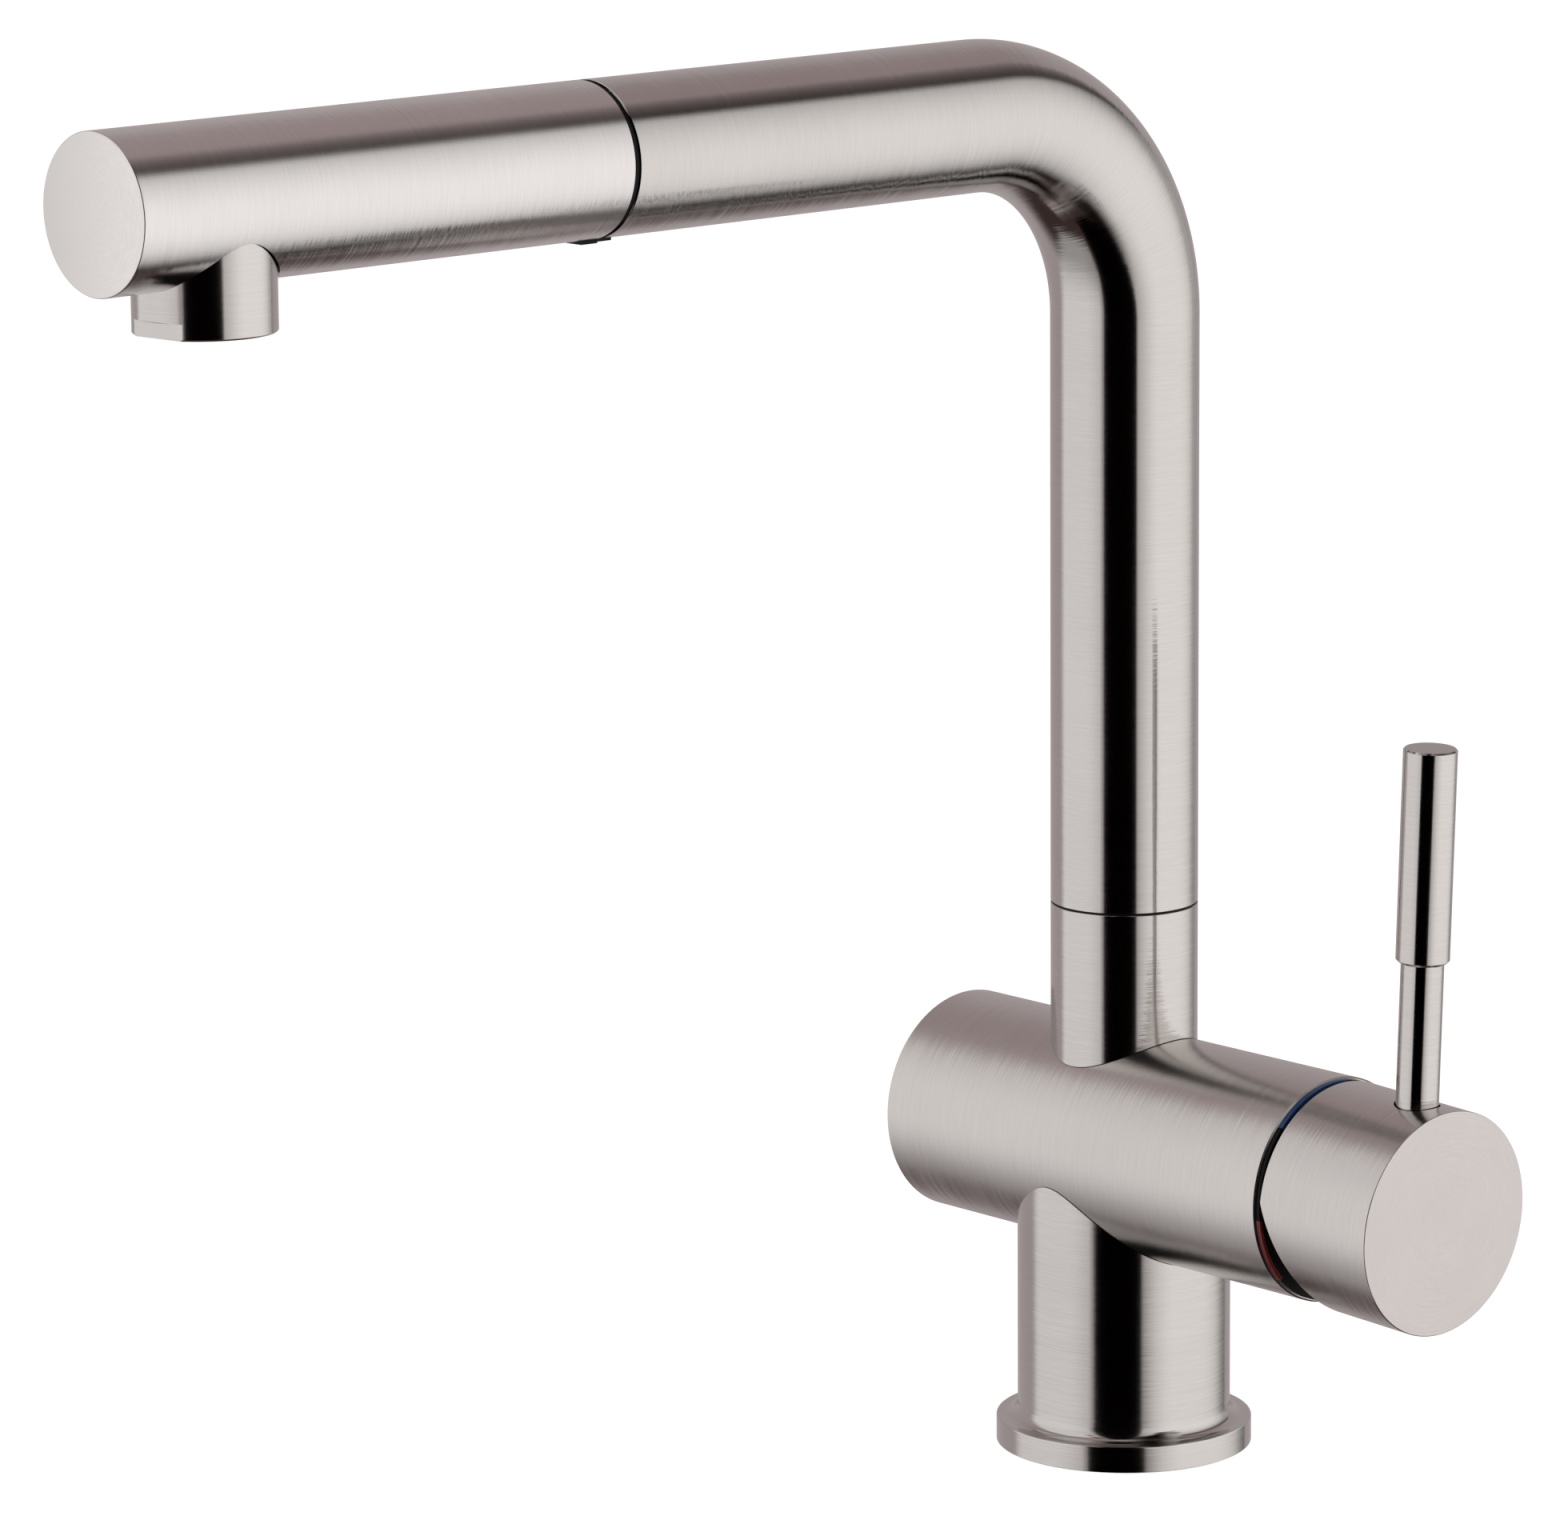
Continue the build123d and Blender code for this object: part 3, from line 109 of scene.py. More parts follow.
upright = plane((0, 0, 0), (1, 0, 0), (0, 0, 1))
barrel_plane = plane((0, 0, barrel_height), (0, 1, 0), (1, 0, 0))
arm_plane = plane((0, 0, arm_height), (1, 0, 0), (0, -1, 0))
nozzle_plane = plane((0, -nozzle_reach, 0), (1, 0, 0), (0, 0, 1))
pivot = Vector((pivot_reach, 0, barrel_height))
lever_plane = plane(pivot, (0, 1, 0), (cos(closed_tilt), 0, -sin(closed_tilt)))
rod_foot = lever_plane @ Vector((0, 0, rod_line))
rod_plane = plane(rod_foot, (0, 1, 0), (sin(closed_tilt), 0, cos(closed_tilt)))
print("lever pivot and rod foot:", [tuple(round(v, 4) for v in place) for place in (pivot, rod_foot)])

# %% [markdown]
# ## Turning, laying down and cutting
#
# A lathe is one ring of points that is pulled along the axis and widened or narrowed at every
# step. So the turning helper adds a circle and repeats two edit mode operators, extrude and
# resize. A profile that ends where it began closes into a solid with a bore, and one that
# is open at its ends is closed with flat faces. Cross holes and saddles are Boolean cuts.
#
# Smooth shading blends the direction of a surface from ring to ring. On a long straight run
# beside a rounded rim that would bend the reflection all the way along the tube, which polished
# steel shows at once. Each long run therefore gets a holding ring close to both of its ends.


# %% Helpers: select, shape a profile, turn, lay down, cut
def pick(piece):
    """Deselect everything and make this piece the one that operators act on."""
    bpy.ops.object.select_all(action="DESELECT")
    piece.select_set(True)
    bpy.context.view_layer.objects.active = piece
    return piece


def hold(profile):
    """Add a holding ring close to both ends of every long run of a profile."""
    rings = profile[:1]
    for (radius, height), (next_radius, next_height) in zip(profile, profile[1:]):
        run = hypot(next_radius - radius, next_height - height)
        if run > mm:
            for share in (hold_distance / run, 1 - hold_distance / run):
                held_radius = radius + (next_radius - radius) * share
                rings.append((held_radius, height + (next_height - height) * share))
        rings.append((next_radius, next_height))
    return rings


def curve(radius, height, reach, start, end, steps):
    """The steps of a profile along an arc round one point, between two angles."""
    angles = [start + (end - start) * step / steps for step in range(steps + 1)]
    return [(radius + reach * cos(angle), height + reach * sin(angle)) for angle in angles]


def turn(name, profile, sides=256):
    """Turn a profile of (radius, height) steps round +Z and close its open ends."""
    profile = hold(profile)
    bpy.ops.object.select_all(action="DESELECT")
    radius, height = profile[0]
    bpy.ops.mesh.primitive_circle_add(vertices=sides, radius=radius)
    piece = bpy.context.object
    piece.name = piece.data.name = name
    bpy.ops.object.mode_set(mode="EDIT")
    bpy.ops.transform.translate(value=(0, 0, height))
    for next_radius, next_height in profile[1:]:
        step = (0, 0, next_height - height)
        bpy.ops.mesh.extrude_region_move(TRANSFORM_OT_translate={"value": step})
        wider = next_radius / radius
        bpy.ops.transform.resize(value=(wider, wider, 1))
        radius, height = next_radius, next_height
    bpy.ops.mesh.select_all(action="SELECT")
    bpy.ops.mesh.remove_doubles(threshold=merge_distance)
    bpy.ops.mesh.fill_holes(sides=sides)
    bpy.ops.mesh.select_all(action="SELECT")
    bpy.ops.mesh.normals_make_consistent(inside=False)
    bpy.ops.object.mode_set(mode="OBJECT")
    return piece


def lay(piece, matrix):
    """Lay a piece on a working plane and put its place into its mesh."""
    piece.matrix_world = matrix
    pick(piece)
    bpy.ops.object.transform_apply(location=True, rotation=True, scale=True)
    return piece


def cut(piece, *tools):
    """Cut each tool's shape out of a piece, then put the tool away."""
    for tool in tools:
        pick(piece)
        saw = piece.modifiers.new("cut", "BOOLEAN")
        saw.operation, saw.solver, saw.object = "DIFFERENCE", "EXACT", tool
        bpy.ops.object.modifier_apply(modifier=saw.name)
        bpy.data.objects.remove(tool)
    return piece


def block(size, centre):
    """A plain block that only serves as a cutting tool."""
    bpy.ops.object.select_all(action="DESELECT")
    bpy.ops.mesh.primitive_cube_add(size=1, location=centre, scale=size)
    return bpy.context.object


def drill(radius, low, high, matrix):
    """A round cutting tool along a plane's axis."""
    return lay(turn("drill", [(radius, low), (radius, high)]), matrix)


# %% [markdown]
# ## Grooves of the brushing
#
# The steel is brushed while it turns, so its fine grooves run round each tube. They have to
# follow the spout through its bend too. So every brushed piece carries two attributes on its
# points: where the point lay while the tube was still straight, and which way the tube's
# axis runs there. The steel's material reads both of them.


# %% Helpers: lay the grooves round a piece, smooth it and name its finish
def straight_tube(matrix):
    """The unrolling of a straight tube on a working plane."""
    back, axis = matrix.inverted(), matrix.to_3x3().col[2].copy()
    return lambda point: (back @ point, axis)


def spout_unroll(point):
    """The unrolling of the spout, from its upright through the bend to the arm."""
    centre_y, centre_z = -bend_radius, arm_height - bend_radius
    if point.z < centre_z and point.y > centre_y:
        return point, Vector((0, 0, 1))
    if point.y < centre_y:
        reach = centre_z + bend_radius * pi / 2 - (point.y - centre_y)
        return Vector((point.x, point.z - arm_height, reach)), Vector((0, -1, 0))
    turned = atan2(point.z - centre_z, point.y - centre_y)
    off_axis = hypot(point.z - centre_z, point.y - centre_y) - bend_radius
    unrolled = Vector((point.x, off_axis, centre_z + bend_radius * turned))
    return unrolled, Vector((0, -sin(turned), cos(turned)))


def lay_grooves(piece, unroll):
    """Write on each point its place on the straight tube and the tube's axis there."""
    straight = piece.data.attributes.new("straight_tube", "FLOAT_VECTOR", "POINT")
    axis = piece.data.attributes.new("tube_axis", "FLOAT_VECTOR", "POINT")
    for place, vertex in enumerate(piece.data.vertices):
        straight.data[place].vector, axis.data[place].vector = unroll(vertex.co)


def smooth(piece):
    """Mark the edges that turn by more than the sharp angle, and shade the rest smooth."""
    pick(piece)
    bpy.ops.object.mode_set(mode="EDIT")
    bpy.ops.mesh.select_mode(type="EDGE")
    bpy.ops.mesh.select_all(action="DESELECT")
    bpy.ops.mesh.edges_select_sharp(sharpness=sharp_angle)
    bpy.ops.mesh.mark_sharp()
    bpy.ops.mesh.select_mode(type="VERT")
    bpy.ops.object.mode_set(mode="OBJECT")
    bpy.ops.object.shade_smooth(keep_sharp_edges=True)


def finish_piece(piece, body, nodes, unroll):
    """Smooth, groove and seat a finished piece, and hide what it stands for."""
    smooth(piece)
    lay_grooves(piece, unroll)
    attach(piece, body)
    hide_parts(*nodes)
    print(piece.name, "faces:", len(piece.data.polygons), "rides on:", body)
    return piece


# %% [markdown]
# ## Post
#
# The post is one turned piece: a foot with a thin rim, a small hollow blend and a tube. A
# narrow skirt below the foot reaches down round the rubber gasket, so that only steel shows
# above the worktop. The post ends in a saddle under the barrel. The saddle is cut a little
# deeper than the barrel's surface, which leaves the hairline of shadow of a welded joint.

# %% Turn the post and cut its saddle
joint_gap, skirt_wall, skirt_lift = 0.12 * mm, 0.36 * mm, 0.1 * mm
foot_curve = curve(post_radius + foot_blend, foot_top + foot_blend, foot_blend, -pi / 2, -pi, steps=8)
post = turn(
    "post",
    [
        (post_bore, foot_bottom),
        (foot_radius - skirt_wall, foot_bottom),
        (foot_radius - skirt_wall, skirt_lift),
        (foot_radius - fine_edge, skirt_lift),
        (foot_radius, skirt_lift + fine_edge),
        (foot_radius, foot_top - soft_edge),
        (foot_radius - fine_edge, foot_top - fine_edge),
        (foot_radius - soft_edge, foot_top),
        *foot_curve,
        (post_radius, barrel_height),
        (post_bore, barrel_height),
        (post_bore, foot_bottom),
    ],
    sides=384,
)
cut(post, drill(barrel_radius + joint_gap, -2 * barrel_left, 2 * barrel_right, barrel_plane))
finish_piece(post, "base", ["base_post"], straight_tube(upright))

# %% [markdown]
# ## Barrel
#
# The barrel is a length of wider tube that lies across the post. Its rims are broken by a
# narrow chamfer, which catches a thin line of light. It is open below into the post and
# above into the riser, as the real one is, because hose and supplies pass through there.

# %% Turn the barrel and open it above and below
barrel_bore = barrel_radius - barrel_wall
barrel = turn(
    "barrel",
    [
        (barrel_bore, -barrel_left),
        (barrel_radius - soft_edge, -barrel_left),
        (barrel_radius, -barrel_left + soft_edge),
        (barrel_radius, barrel_right - soft_edge),
        (barrel_radius - soft_edge, barrel_right),
        (barrel_bore, barrel_right),
        (barrel_bore, -barrel_left),
    ],
    sides=384,
)
lay(barrel, barrel_plane)
cut(barrel, drill(post_bore, 0, barrel_height, upright))
cut(barrel, drill(tube_radius - riser_wall, barrel_height, 2 * barrel_height, upright))
finish_piece(barrel, "base", ["valve_barrel"], straight_tube(barrel_plane))

# %% [markdown]
# ## Riser
#
# A short length of the spout's own tube stands on the barrel and holds the swivel. Its foot
# is a saddle like the post's. The screw that limits the swing sits in a hole in its back.

# %% Turn the riser, cut its saddle and drill its back
riser_bore, stop_hole = tube_radius - riser_wall, 2 * mm
riser = turn(
    "riser_tube",
    [
        (riser_bore, barrel_height),
        (tube_radius, barrel_height),
        (tube_radius, seam_height - fine_edge),
        (tube_radius - fine_edge, seam_height),
        (riser_bore, seam_height),
        (riser_bore, barrel_height),
    ],
)
cut(riser, drill(barrel_radius + joint_gap, -2 * barrel_left, 2 * barrel_right, barrel_plane))
stop_plane = plane((0, 0, stop_height), (-1, 0, 0), (0, 1, 0))
cut(riser, drill(stop_hole, 0, 2 * tube_radius, stop_plane))
finish_piece(riser, "base", ["riser"], straight_tube(upright))

# %% [markdown]
# ## Seam band of painted shade
#
# The spout turns on a bush whose flange lies between the two tubes. From outside only a thin
# black line shows there, the shade in the narrow gap. A narrow band of black plastic round the
# flange draws that line as painted shade: it lies a hair inside both tubes, so nothing rubs on it when the
# spout swings.

# %% Turn the seam band of painted shade
band_bore, band_radius, band_gap = tube_radius - 0.28 * mm, tube_radius - 0.06 * mm, 0.05 * mm
seam_shade_band = turn(
    "seam_shade_band",
    [
        (band_bore, seam_height + band_gap),
        (band_radius, seam_height + band_gap),
        (band_radius, tube_foot - band_gap),
        (band_bore, tube_foot - band_gap),
        (band_bore, seam_height + band_gap),
    ],
)
smooth(seam_shade_band)
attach(seam_shade_band, "base")
print("seam band height:", round((tube_foot - seam_height) / mm, 2), "mm")

# %% [markdown]
# ## Spout
#
# Upright, bend and arm are one tube. The ring of points is pulled up, spun a quarter turn
# round the bend's centre and pulled out along the arm, just as a tube bender does it. Solidify
# then gives the wall its thickness, and a notch below the arm's mouth takes the docking tab.

# %% Pull, spin and pull the spout, then give it a wall
bpy.ops.object.select_all(action="DESELECT")
bpy.ops.mesh.primitive_circle_add(vertices=256, radius=tube_radius - fine_edge)
spout = bpy.context.object
spout.name = spout.data.name = "spout"
bend_foot = arm_height - bend_radius
bpy.ops.object.mode_set(mode="EDIT")
bpy.ops.transform.translate(value=(0, 0, tube_foot))
bpy.ops.mesh.extrude_region_move(TRANSFORM_OT_translate={"value": (0, 0, fine_edge)})
mouth = tube_radius / (tube_radius - fine_edge)
bpy.ops.transform.resize(value=(mouth, mouth, 1))
bpy.ops.mesh.extrude_region_move(
    TRANSFORM_OT_translate={"value": (0, 0, bend_foot - tube_foot - fine_edge)}
)
bpy.ops.mesh.spin(
    steps=90, angle=pi / 2, center=(0, -bend_radius, bend_foot), axis=(-1, 0, 0)
)
bpy.ops.mesh.extrude_region_move(
    TRANSFORM_OT_translate={"value": (0, bend_radius + fine_edge - arm_reach, 0)}
)
bpy.ops.mesh.extrude_region_move(TRANSFORM_OT_translate={"value": (0, -fine_edge, 0)})
bpy.ops.transform.resize(value=(1 / mouth, 1, 1 / mouth))
bpy.ops.mesh.select_all(action="SELECT")
bpy.ops.mesh.remove_doubles(threshold=merge_distance)
bpy.ops.mesh.normals_make_consistent(inside=False)
bpy.ops.object.mode_set(mode="OBJECT")
wall = spout.modifiers.new("wall", "SOLIDIFY")
wall.thickness, wall.offset, wall.use_even_offset = tube_wall, -1, True
pick(spout)
bpy.ops.object.modifier_apply(modifier=wall.name)
notch_play = 0.1 * mm
notch_size = (tab_width + notch_play, 2 * (arm_reach - tab_tail), tube_radius)
cut(spout, block(notch_size, (0, -arm_reach, arm_height - tube_radius)))
finish_piece(spout, "spout", ["spout_tube"], spout_unroll)

# %% [markdown]
# ## Spray head
#
# The head is a tube with a flat closed end that continues the arm. The end's rim is rounded
# in a few small steps, which draws the fine line round the face. Below, a hole that is
# slightly wider than the nozzle leaves the dark crescent beside it.

# %% Turn the head and drill it for the nozzle
def rounded_rim(radius, height, rim=0.25 * mm):
    """The steps of a profile that round the rim of a flat face."""
    return curve(radius - rim, height - rim, rim, 0, pi / 2, steps=4)


nozzle_play, slot_play = 0.35 * mm, 0.3 * mm
head = turn(
    "head",
    [
        (mm, head_end - head_end_wall),
        (head_bore, head_end - head_end_wall),
        (head_bore, head_start),
        (tube_radius - fine_edge, head_start),
        (tube_radius, head_start + fine_edge),
        *rounded_rim(tube_radius, head_end),
        (mm, head_end),
    ],
)
lay(head, arm_plane)
cut(head, drill(nozzle_radius + nozzle_play, 0, arm_height, nozzle_plane))
slot_size = (tab_width + 2 * slot_play, 2 * (tab_nose + slot_play - head_start), tube_radius)
cut(head, block(slot_size, (0, -head_start, arm_height - tube_radius)))
finish_piece(head, "spray_head", ["head_shell"], straight_tube(arm_plane))

# %% [markdown]
# ## Nozzle
#
# The nozzle is screwed up into the head. It is a turned cup with two flats for a wrench at
# its lower rim. Each flat is milled by a block that is turned with it, and a second, very thin
# block leaves the fine line above the flat. The jet former inside the nozzle is a CAD piece
# with its own honeycomb of channels.

# %% Turn the nozzle and mill its flats
inlet_radius, flat_top = nozzle_bore - 3.6 * mm, nozzle_bottom + flat_height
nozzle = turn(
    "nozzle",
    [
        (nozzle_bore, nozzle_bottom),
        (nozzle_radius - soft_edge, nozzle_bottom),
        (nozzle_radius, nozzle_bottom + soft_edge),
        (nozzle_radius, flat_top + soft_edge),
        (nozzle_radius, nozzle_top),
        (inlet_radius, nozzle_top),
        (inlet_radius, nozzle_shelf),
        (nozzle_bore, nozzle_shelf),
        (nozzle_bore, nozzle_bottom),
    ],
)
lay(nozzle, nozzle_plane)


def milling_block(bearing, depth, low, high):
    """A block that stands against the nozzle and takes off this depth between two heights."""
    tool = block((2 * depth, 2 * nozzle_radius, high - low), (nozzle_radius, 0, (low + high) / 2))
    return lay(tool, nozzle_plane @ Matrix.Rotation(bearing, 4, "Z") @ tool.matrix_world)


line_depth, line_height = 0.6 * mm, 0.22 * mm
for bearing in (flat_bearing, flat_bearing + pi):
    cut(nozzle, milling_block(bearing, flat_depth, nozzle_bottom - mm, flat_top))
    cut(nozzle, milling_block(bearing, line_depth, flat_top, flat_top + line_height))
finish_piece(nozzle, "spray_head", ["nozzle_housing"], straight_tube(nozzle_plane))

# %% [markdown]
# ## Temperature ring
#
# Between barrel and lever sits a black ring whose rim shows. It has a fine groove all round,
# and a dome that keeps the eye from looking past the lever cap when the lever is pulled out.

# %% Turn the temperature ring
ring_back, ring_seat, rim_break = ring_front - 1.9 * mm, barrel_bore - 0.05 * mm, 0.06 * mm
groove_middle, groove_half, groove_depth = barrel_right + 0.7 * mm, 0.04 * mm, 0.1 * mm
rim_angle, mouth_angle = asin((ring_front - pivot_reach) / dome_radius), acos(dome_mouth / dome_radius)
ring = turn(
    "temperature_collar",
    [
        (dome_mouth, ring_back),
        (ring_seat, ring_back),
        (ring_seat, barrel_right),
        (ring_radius, barrel_right),
        (ring_radius, groove_middle - groove_half),
        (ring_radius - groove_depth, groove_middle),
        (ring_radius, groove_middle + groove_half),
        (ring_radius, ring_front - rim_break),
        (ring_radius - rim_break, ring_front),
        *curve(0, pivot_reach, dome_radius, rim_angle, mouth_angle, steps=16),
        (dome_mouth, ring_back),
    ],
    sides=384,
)
lay(ring, barrel_plane)
finish_piece(ring, "base", ["temperature_ring"], straight_tube(barrel_plane))

# %% [markdown]
# ## Blue and red inlays
#
# The inlays are thin painted arcs that lie on the ring's rim and wrap round its front. Each
# is turned as a whole ring with a fine groove and then cut to its arc by two planes through
# the axis, which bisect can do because both arcs are shorter than half a turn.

# %% Turn the inlays and cut them to their arcs
def inlay(name, low, high, node):
    """A thin arc on the ring's rim between two elevations in degrees, seen along the barrel."""
    skin, wrap = 0.05 * mm, 0.55 * mm
    outer, groove = ring_radius + 2 * skin, barrel_right + 0.42 * mm
    arc = turn(
        name,
        [
            (ring_radius, barrel_right + skin),
            (outer, barrel_right + skin),
            (outer, groove - skin),
            (outer - skin, groove),
            (outer, groove + skin),
            (outer, ring_front),
            (outer - skin, ring_front + skin),
            (ring_radius - wrap, ring_front + skin),
            (ring_radius - wrap, ring_front),
            (ring_radius, ring_front),
            (ring_radius, barrel_right + skin),
        ],
        sides=384,
    )
    lay(arc, barrel_plane)
    bpy.ops.object.mode_set(mode="EDIT")
    for edge, outside in ((radians(low), 1), (radians(high), -1)):
        bpy.ops.mesh.select_all(action="SELECT")
        bpy.ops.mesh.bisect(
            plane_co=(0, 0, barrel_height),
            plane_no=(0, -sin(edge) * outside, -cos(edge) * outside),
            use_fill=True,
            clear_outer=True,
        )
    bpy.ops.object.mode_set(mode="OBJECT")
    return finish_piece(arc, "base", [node], straight_tube(barrel_plane))


cold_low, cold_high, hot_low, hot_high = 44, 96, -44, -6
cold_inlay = inlay("cold_inlay", cold_low, cold_high, "cold_mark")
hot_inlay = inlay("hot_inlay", hot_low, hot_high, "hot_mark")

# %% [markdown]
# ## Lever cap
#
# The cap is turned from solid and bored from behind. Its lower rear edge is cut away along a
# slanting plane, so that it clears the barrel when the lever is pulled out. A slanting block
# makes this cut: a bisect would have to close a crescent round the bore, and its one big
# face comes out torn. The rod stands in a hole that is a little wider than the rod.

# %% Turn the cap, slant its lower rear edge and drill it for the rod
cap = turn(
    "lever_cap_shell",
    [
        (mm, cap_bore_end),
        (cap_radius - cap_wall, cap_bore_end),
        (cap_radius - cap_wall, cap_rear),
        (cap_radius - fine_edge, cap_rear),
        (cap_radius, cap_rear + fine_edge),
        *rounded_rim(cap_radius, cap_face),
        (mm, cap_face),
    ],
    sides=384,
)
lay(cap, lever_plane)
slant_reach, rod_play = 2 * mm, 0.3 * mm
slant_tip = lever_plane @ Vector((0, slant_reach, cap_rear))
slant_inward = lever_plane.to_3x3() @ Vector((0, sin(bevel_angle), cos(bevel_angle)))
slant_down = lever_plane.to_3x3() @ Vector((0, cos(bevel_angle), -sin(bevel_angle)))
slant_block = block((2 * cap_face, 4 * cap_radius, cap_face), (0, 0, 0))
slant_plane = plane(slant_tip - slant_inward * cap_face / 2, slant_down, slant_inward)
cut(cap, lay(slant_block, slant_plane @ slant_block.matrix_world))
cut(cap, drill(rod_radius + rod_play, rod_seat, 2 * cap_radius, rod_plane))
finish_piece(cap, "lever", ["lever_cap"], straight_tube(lever_plane))

# %% [markdown]
# ## Rod and grip
#
# The rod is thin and the grip on it a little thicker. Both are turned. The grip's lower rim
# has a wider chamfer than its upper one.

# %% Turn the rod and the grip
rod = turn("rod", [(rod_radius, rod_seat), (rod_radius, grip_start + mm)], sides=128)
lay(rod, rod_plane)
finish_piece(rod, "lever", ["lever_rod"], straight_tube(rod_plane))
grip_chamfer = 0.5 * mm
grip = turn(
    "grip",
    [
        (rod_radius, grip_start),
        (grip_radius - grip_chamfer, grip_start),
        (grip_radius, grip_start + grip_chamfer),
        (grip_radius, grip_end - soft_edge),
        (grip_radius - soft_edge, grip_end),
    ],
    sides=128,
)
lay(grip, rod_plane)
finish_piece(grip, "lever", ["lever_grip"], straight_tube(rod_plane))

# %% [markdown]
# ## Pull-out hose
#
# The hose hangs on the head and slides out of the arm with it. Here it is one straight
# piece that lies in the arm, turned with many rings along its length.

# %% Pull the hose in many short steps
hose_start, hose_end, hose_radius, hose_bore = 42 * mm, 107.9 * mm, 6.5 * mm, 3.5 * mm
hose_steps = 120
hose_rings = [hose_start + (hose_end - hose_start) * step / hose_steps for step in range(hose_steps + 1)]
hose = turn(
    "pull_out_hose",
    [(hose_bore, hose_start)]
    + [(hose_radius, place) for place in hose_rings]
    + [(hose_bore, place) for place in reversed(hose_rings)],
    sides=48,
)
lay(hose, arm_plane)
smooth(hose)
lay_grooves(hose, straight_tube(arm_plane))
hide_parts("hose_in_arm")
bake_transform(hose)
print("hose rings:", len(hose_rings))

# %% [markdown]
# ## Shader maths in Python
#
# A material is a graph of nodes, and most of its nodes only add and multiply. One small class
# wraps an output socket and gives it Python's signs, so that a formula is written as it is
# read. Every other node comes from one method, which sets the node's choices first and its
# sockets after them. The methods below it call it for what several finishes need.


# %% The graph and its signals
class Signal:
    """An output socket: an arithmetic sign between signals adds a Math node."""

    def __init__(self, graph, socket):
        self.graph, self.socket = graph, socket

    def __add__(self, other):
        return self.graph.maths("ADD", self, other)

    def __sub__(self, other):
        return self.graph.maths("SUBTRACT", self, other)

    def __rsub__(self, other):
        return self.graph.maths("SUBTRACT", other, self)

    def __mul__(self, other):
        return self.graph.maths("MULTIPLY", self, other)

    __radd__, __rmul__ = __add__, __mul__


class Graph:
    """A material's or the world's node tree, emptied and built up again."""

    def __init__(self, owner):
        owner.use_nodes = True
        self.owner, self.tree = owner, owner.node_tree
        self.tree.nodes.clear()

    def add(self, kind, settings=None, sockets=None, out=0):
        """Add a node, set its choices, fill or link its sockets, and hand back one output."""
        node = self.tree.nodes.new(kind)
        for name, value in (settings or {}).items():
            setattr(node, name, value)
        for name, value in (sockets or {}).items():
            if isinstance(value, Signal):
                self.tree.links.new(value.socket, node.inputs[name])
            else:
                node.inputs[name].default_value = value
        return Signal(self, node.outputs[out]) if node.outputs else None

    def maths(self, operation, *values):
        """Maths on numbers."""
        return self.add("ShaderNodeMath", {"operation": operation}, dict(enumerate(values)))

    def arrow(self, operation, first, second=None, scale=None, out=0):
        """Maths on vectors."""
        given = {0: first, 1: second, "Scale": scale}
        sockets = {name: value for name, value in given.items() if value is not None}
        return self.add("ShaderNodeVectorMath", {"operation": operation}, sockets, out=out)

    def ease(self, value, low, high, to_low=0.0, to_high=1.0):
        """A smooth step from one value to another while the signal goes from low to high."""
        return self.add(
            "ShaderNodeMapRange",
            {"interpolation_type": "SMOOTHSTEP"},
            {"Value": value, "From Min": low, "From Max": high, "To Min": to_low, "To Max": to_high},
        )

    def tint(self, share, first, second):
        """A colour between two colours."""
        return self.add("ShaderNodeMix", {"data_type": "RGBA"}, {0: share, 6: first, 7: second}, out=2)

    def coordinate(self, vector, axis):
        """A vector's X, Y or Z."""
        return self.add("ShaderNodeSeparateXYZ", sockets={0: vector}, out=axis)

    def noise(self, vector, scale, detail, roughness=0.5):
        """Soft noise between 0 and 1."""
        sockets = {"Vector": vector, "Scale": scale, "Detail": detail, "Roughness": roughness}
        return self.add("ShaderNodeTexNoise", sockets=sockets)

    def chance(self, number):
        """A random value between 0 and 1, always the same for the same number."""
        return self.add("ShaderNodeTexWhiteNoise", {"noise_dimensions": "1D"}, {"W": number}, out="Value")

    def bump(self, height, strength, distance):
        """The surface's normal, roughened by a height."""
        sockets = {"Strength": strength, "Distance": distance, "Height": height}
        return self.add("ShaderNodeBump", sockets=sockets)

    def lean(self, direction, slope):
        """The surface's normal, tilted by a slope towards a direction on the piece."""
        world_direction = self.add(
            "ShaderNodeVectorTransform",
            {"vector_type": "VECTOR", "convert_from": "OBJECT", "convert_to": "WORLD"},
            {0: direction},
        )
        outward = self.add("ShaderNodeNewGeometry", out="Normal")
        tilt = self.arrow("SCALE", world_direction, scale=slope)
        return self.arrow("NORMALIZE", self.arrow("ADD", outward, tilt))

    def finish(self, surface):
        """Make this shader the surface, and hand the finished material back."""
        self.add("ShaderNodeOutputMaterial", sockets={"Surface": surface})
        return self.owner

    def principled(self, sockets):
        """Finish the material with one Principled surface."""
        return self.finish(self.add("ShaderNodeBsdfPrincipled", sockets=sockets))


def shade(base, factor):
    """A darker or lighter shade of a colour."""
    return tuple(min(1, channel * factor) for channel in base) + (1,)


# %% [markdown]
# ## Brushed stainless steel
#
# Steel shows no colour of its own, only its surroundings, so all its character lies in how
# the grooves bend the reflection. Across a groove the reflection is smeared, and along it
# it stays sharp. The shader does the same: every groove, a twentieth of a millimetre wide,
# tilts the surface by its own small random angle towards the tube's axis. Longer, wider
# scratches lie over them, and they also change the colour and the roughness a little.


# %% Brushed steel for tubes
grooves_per_metre = 20000


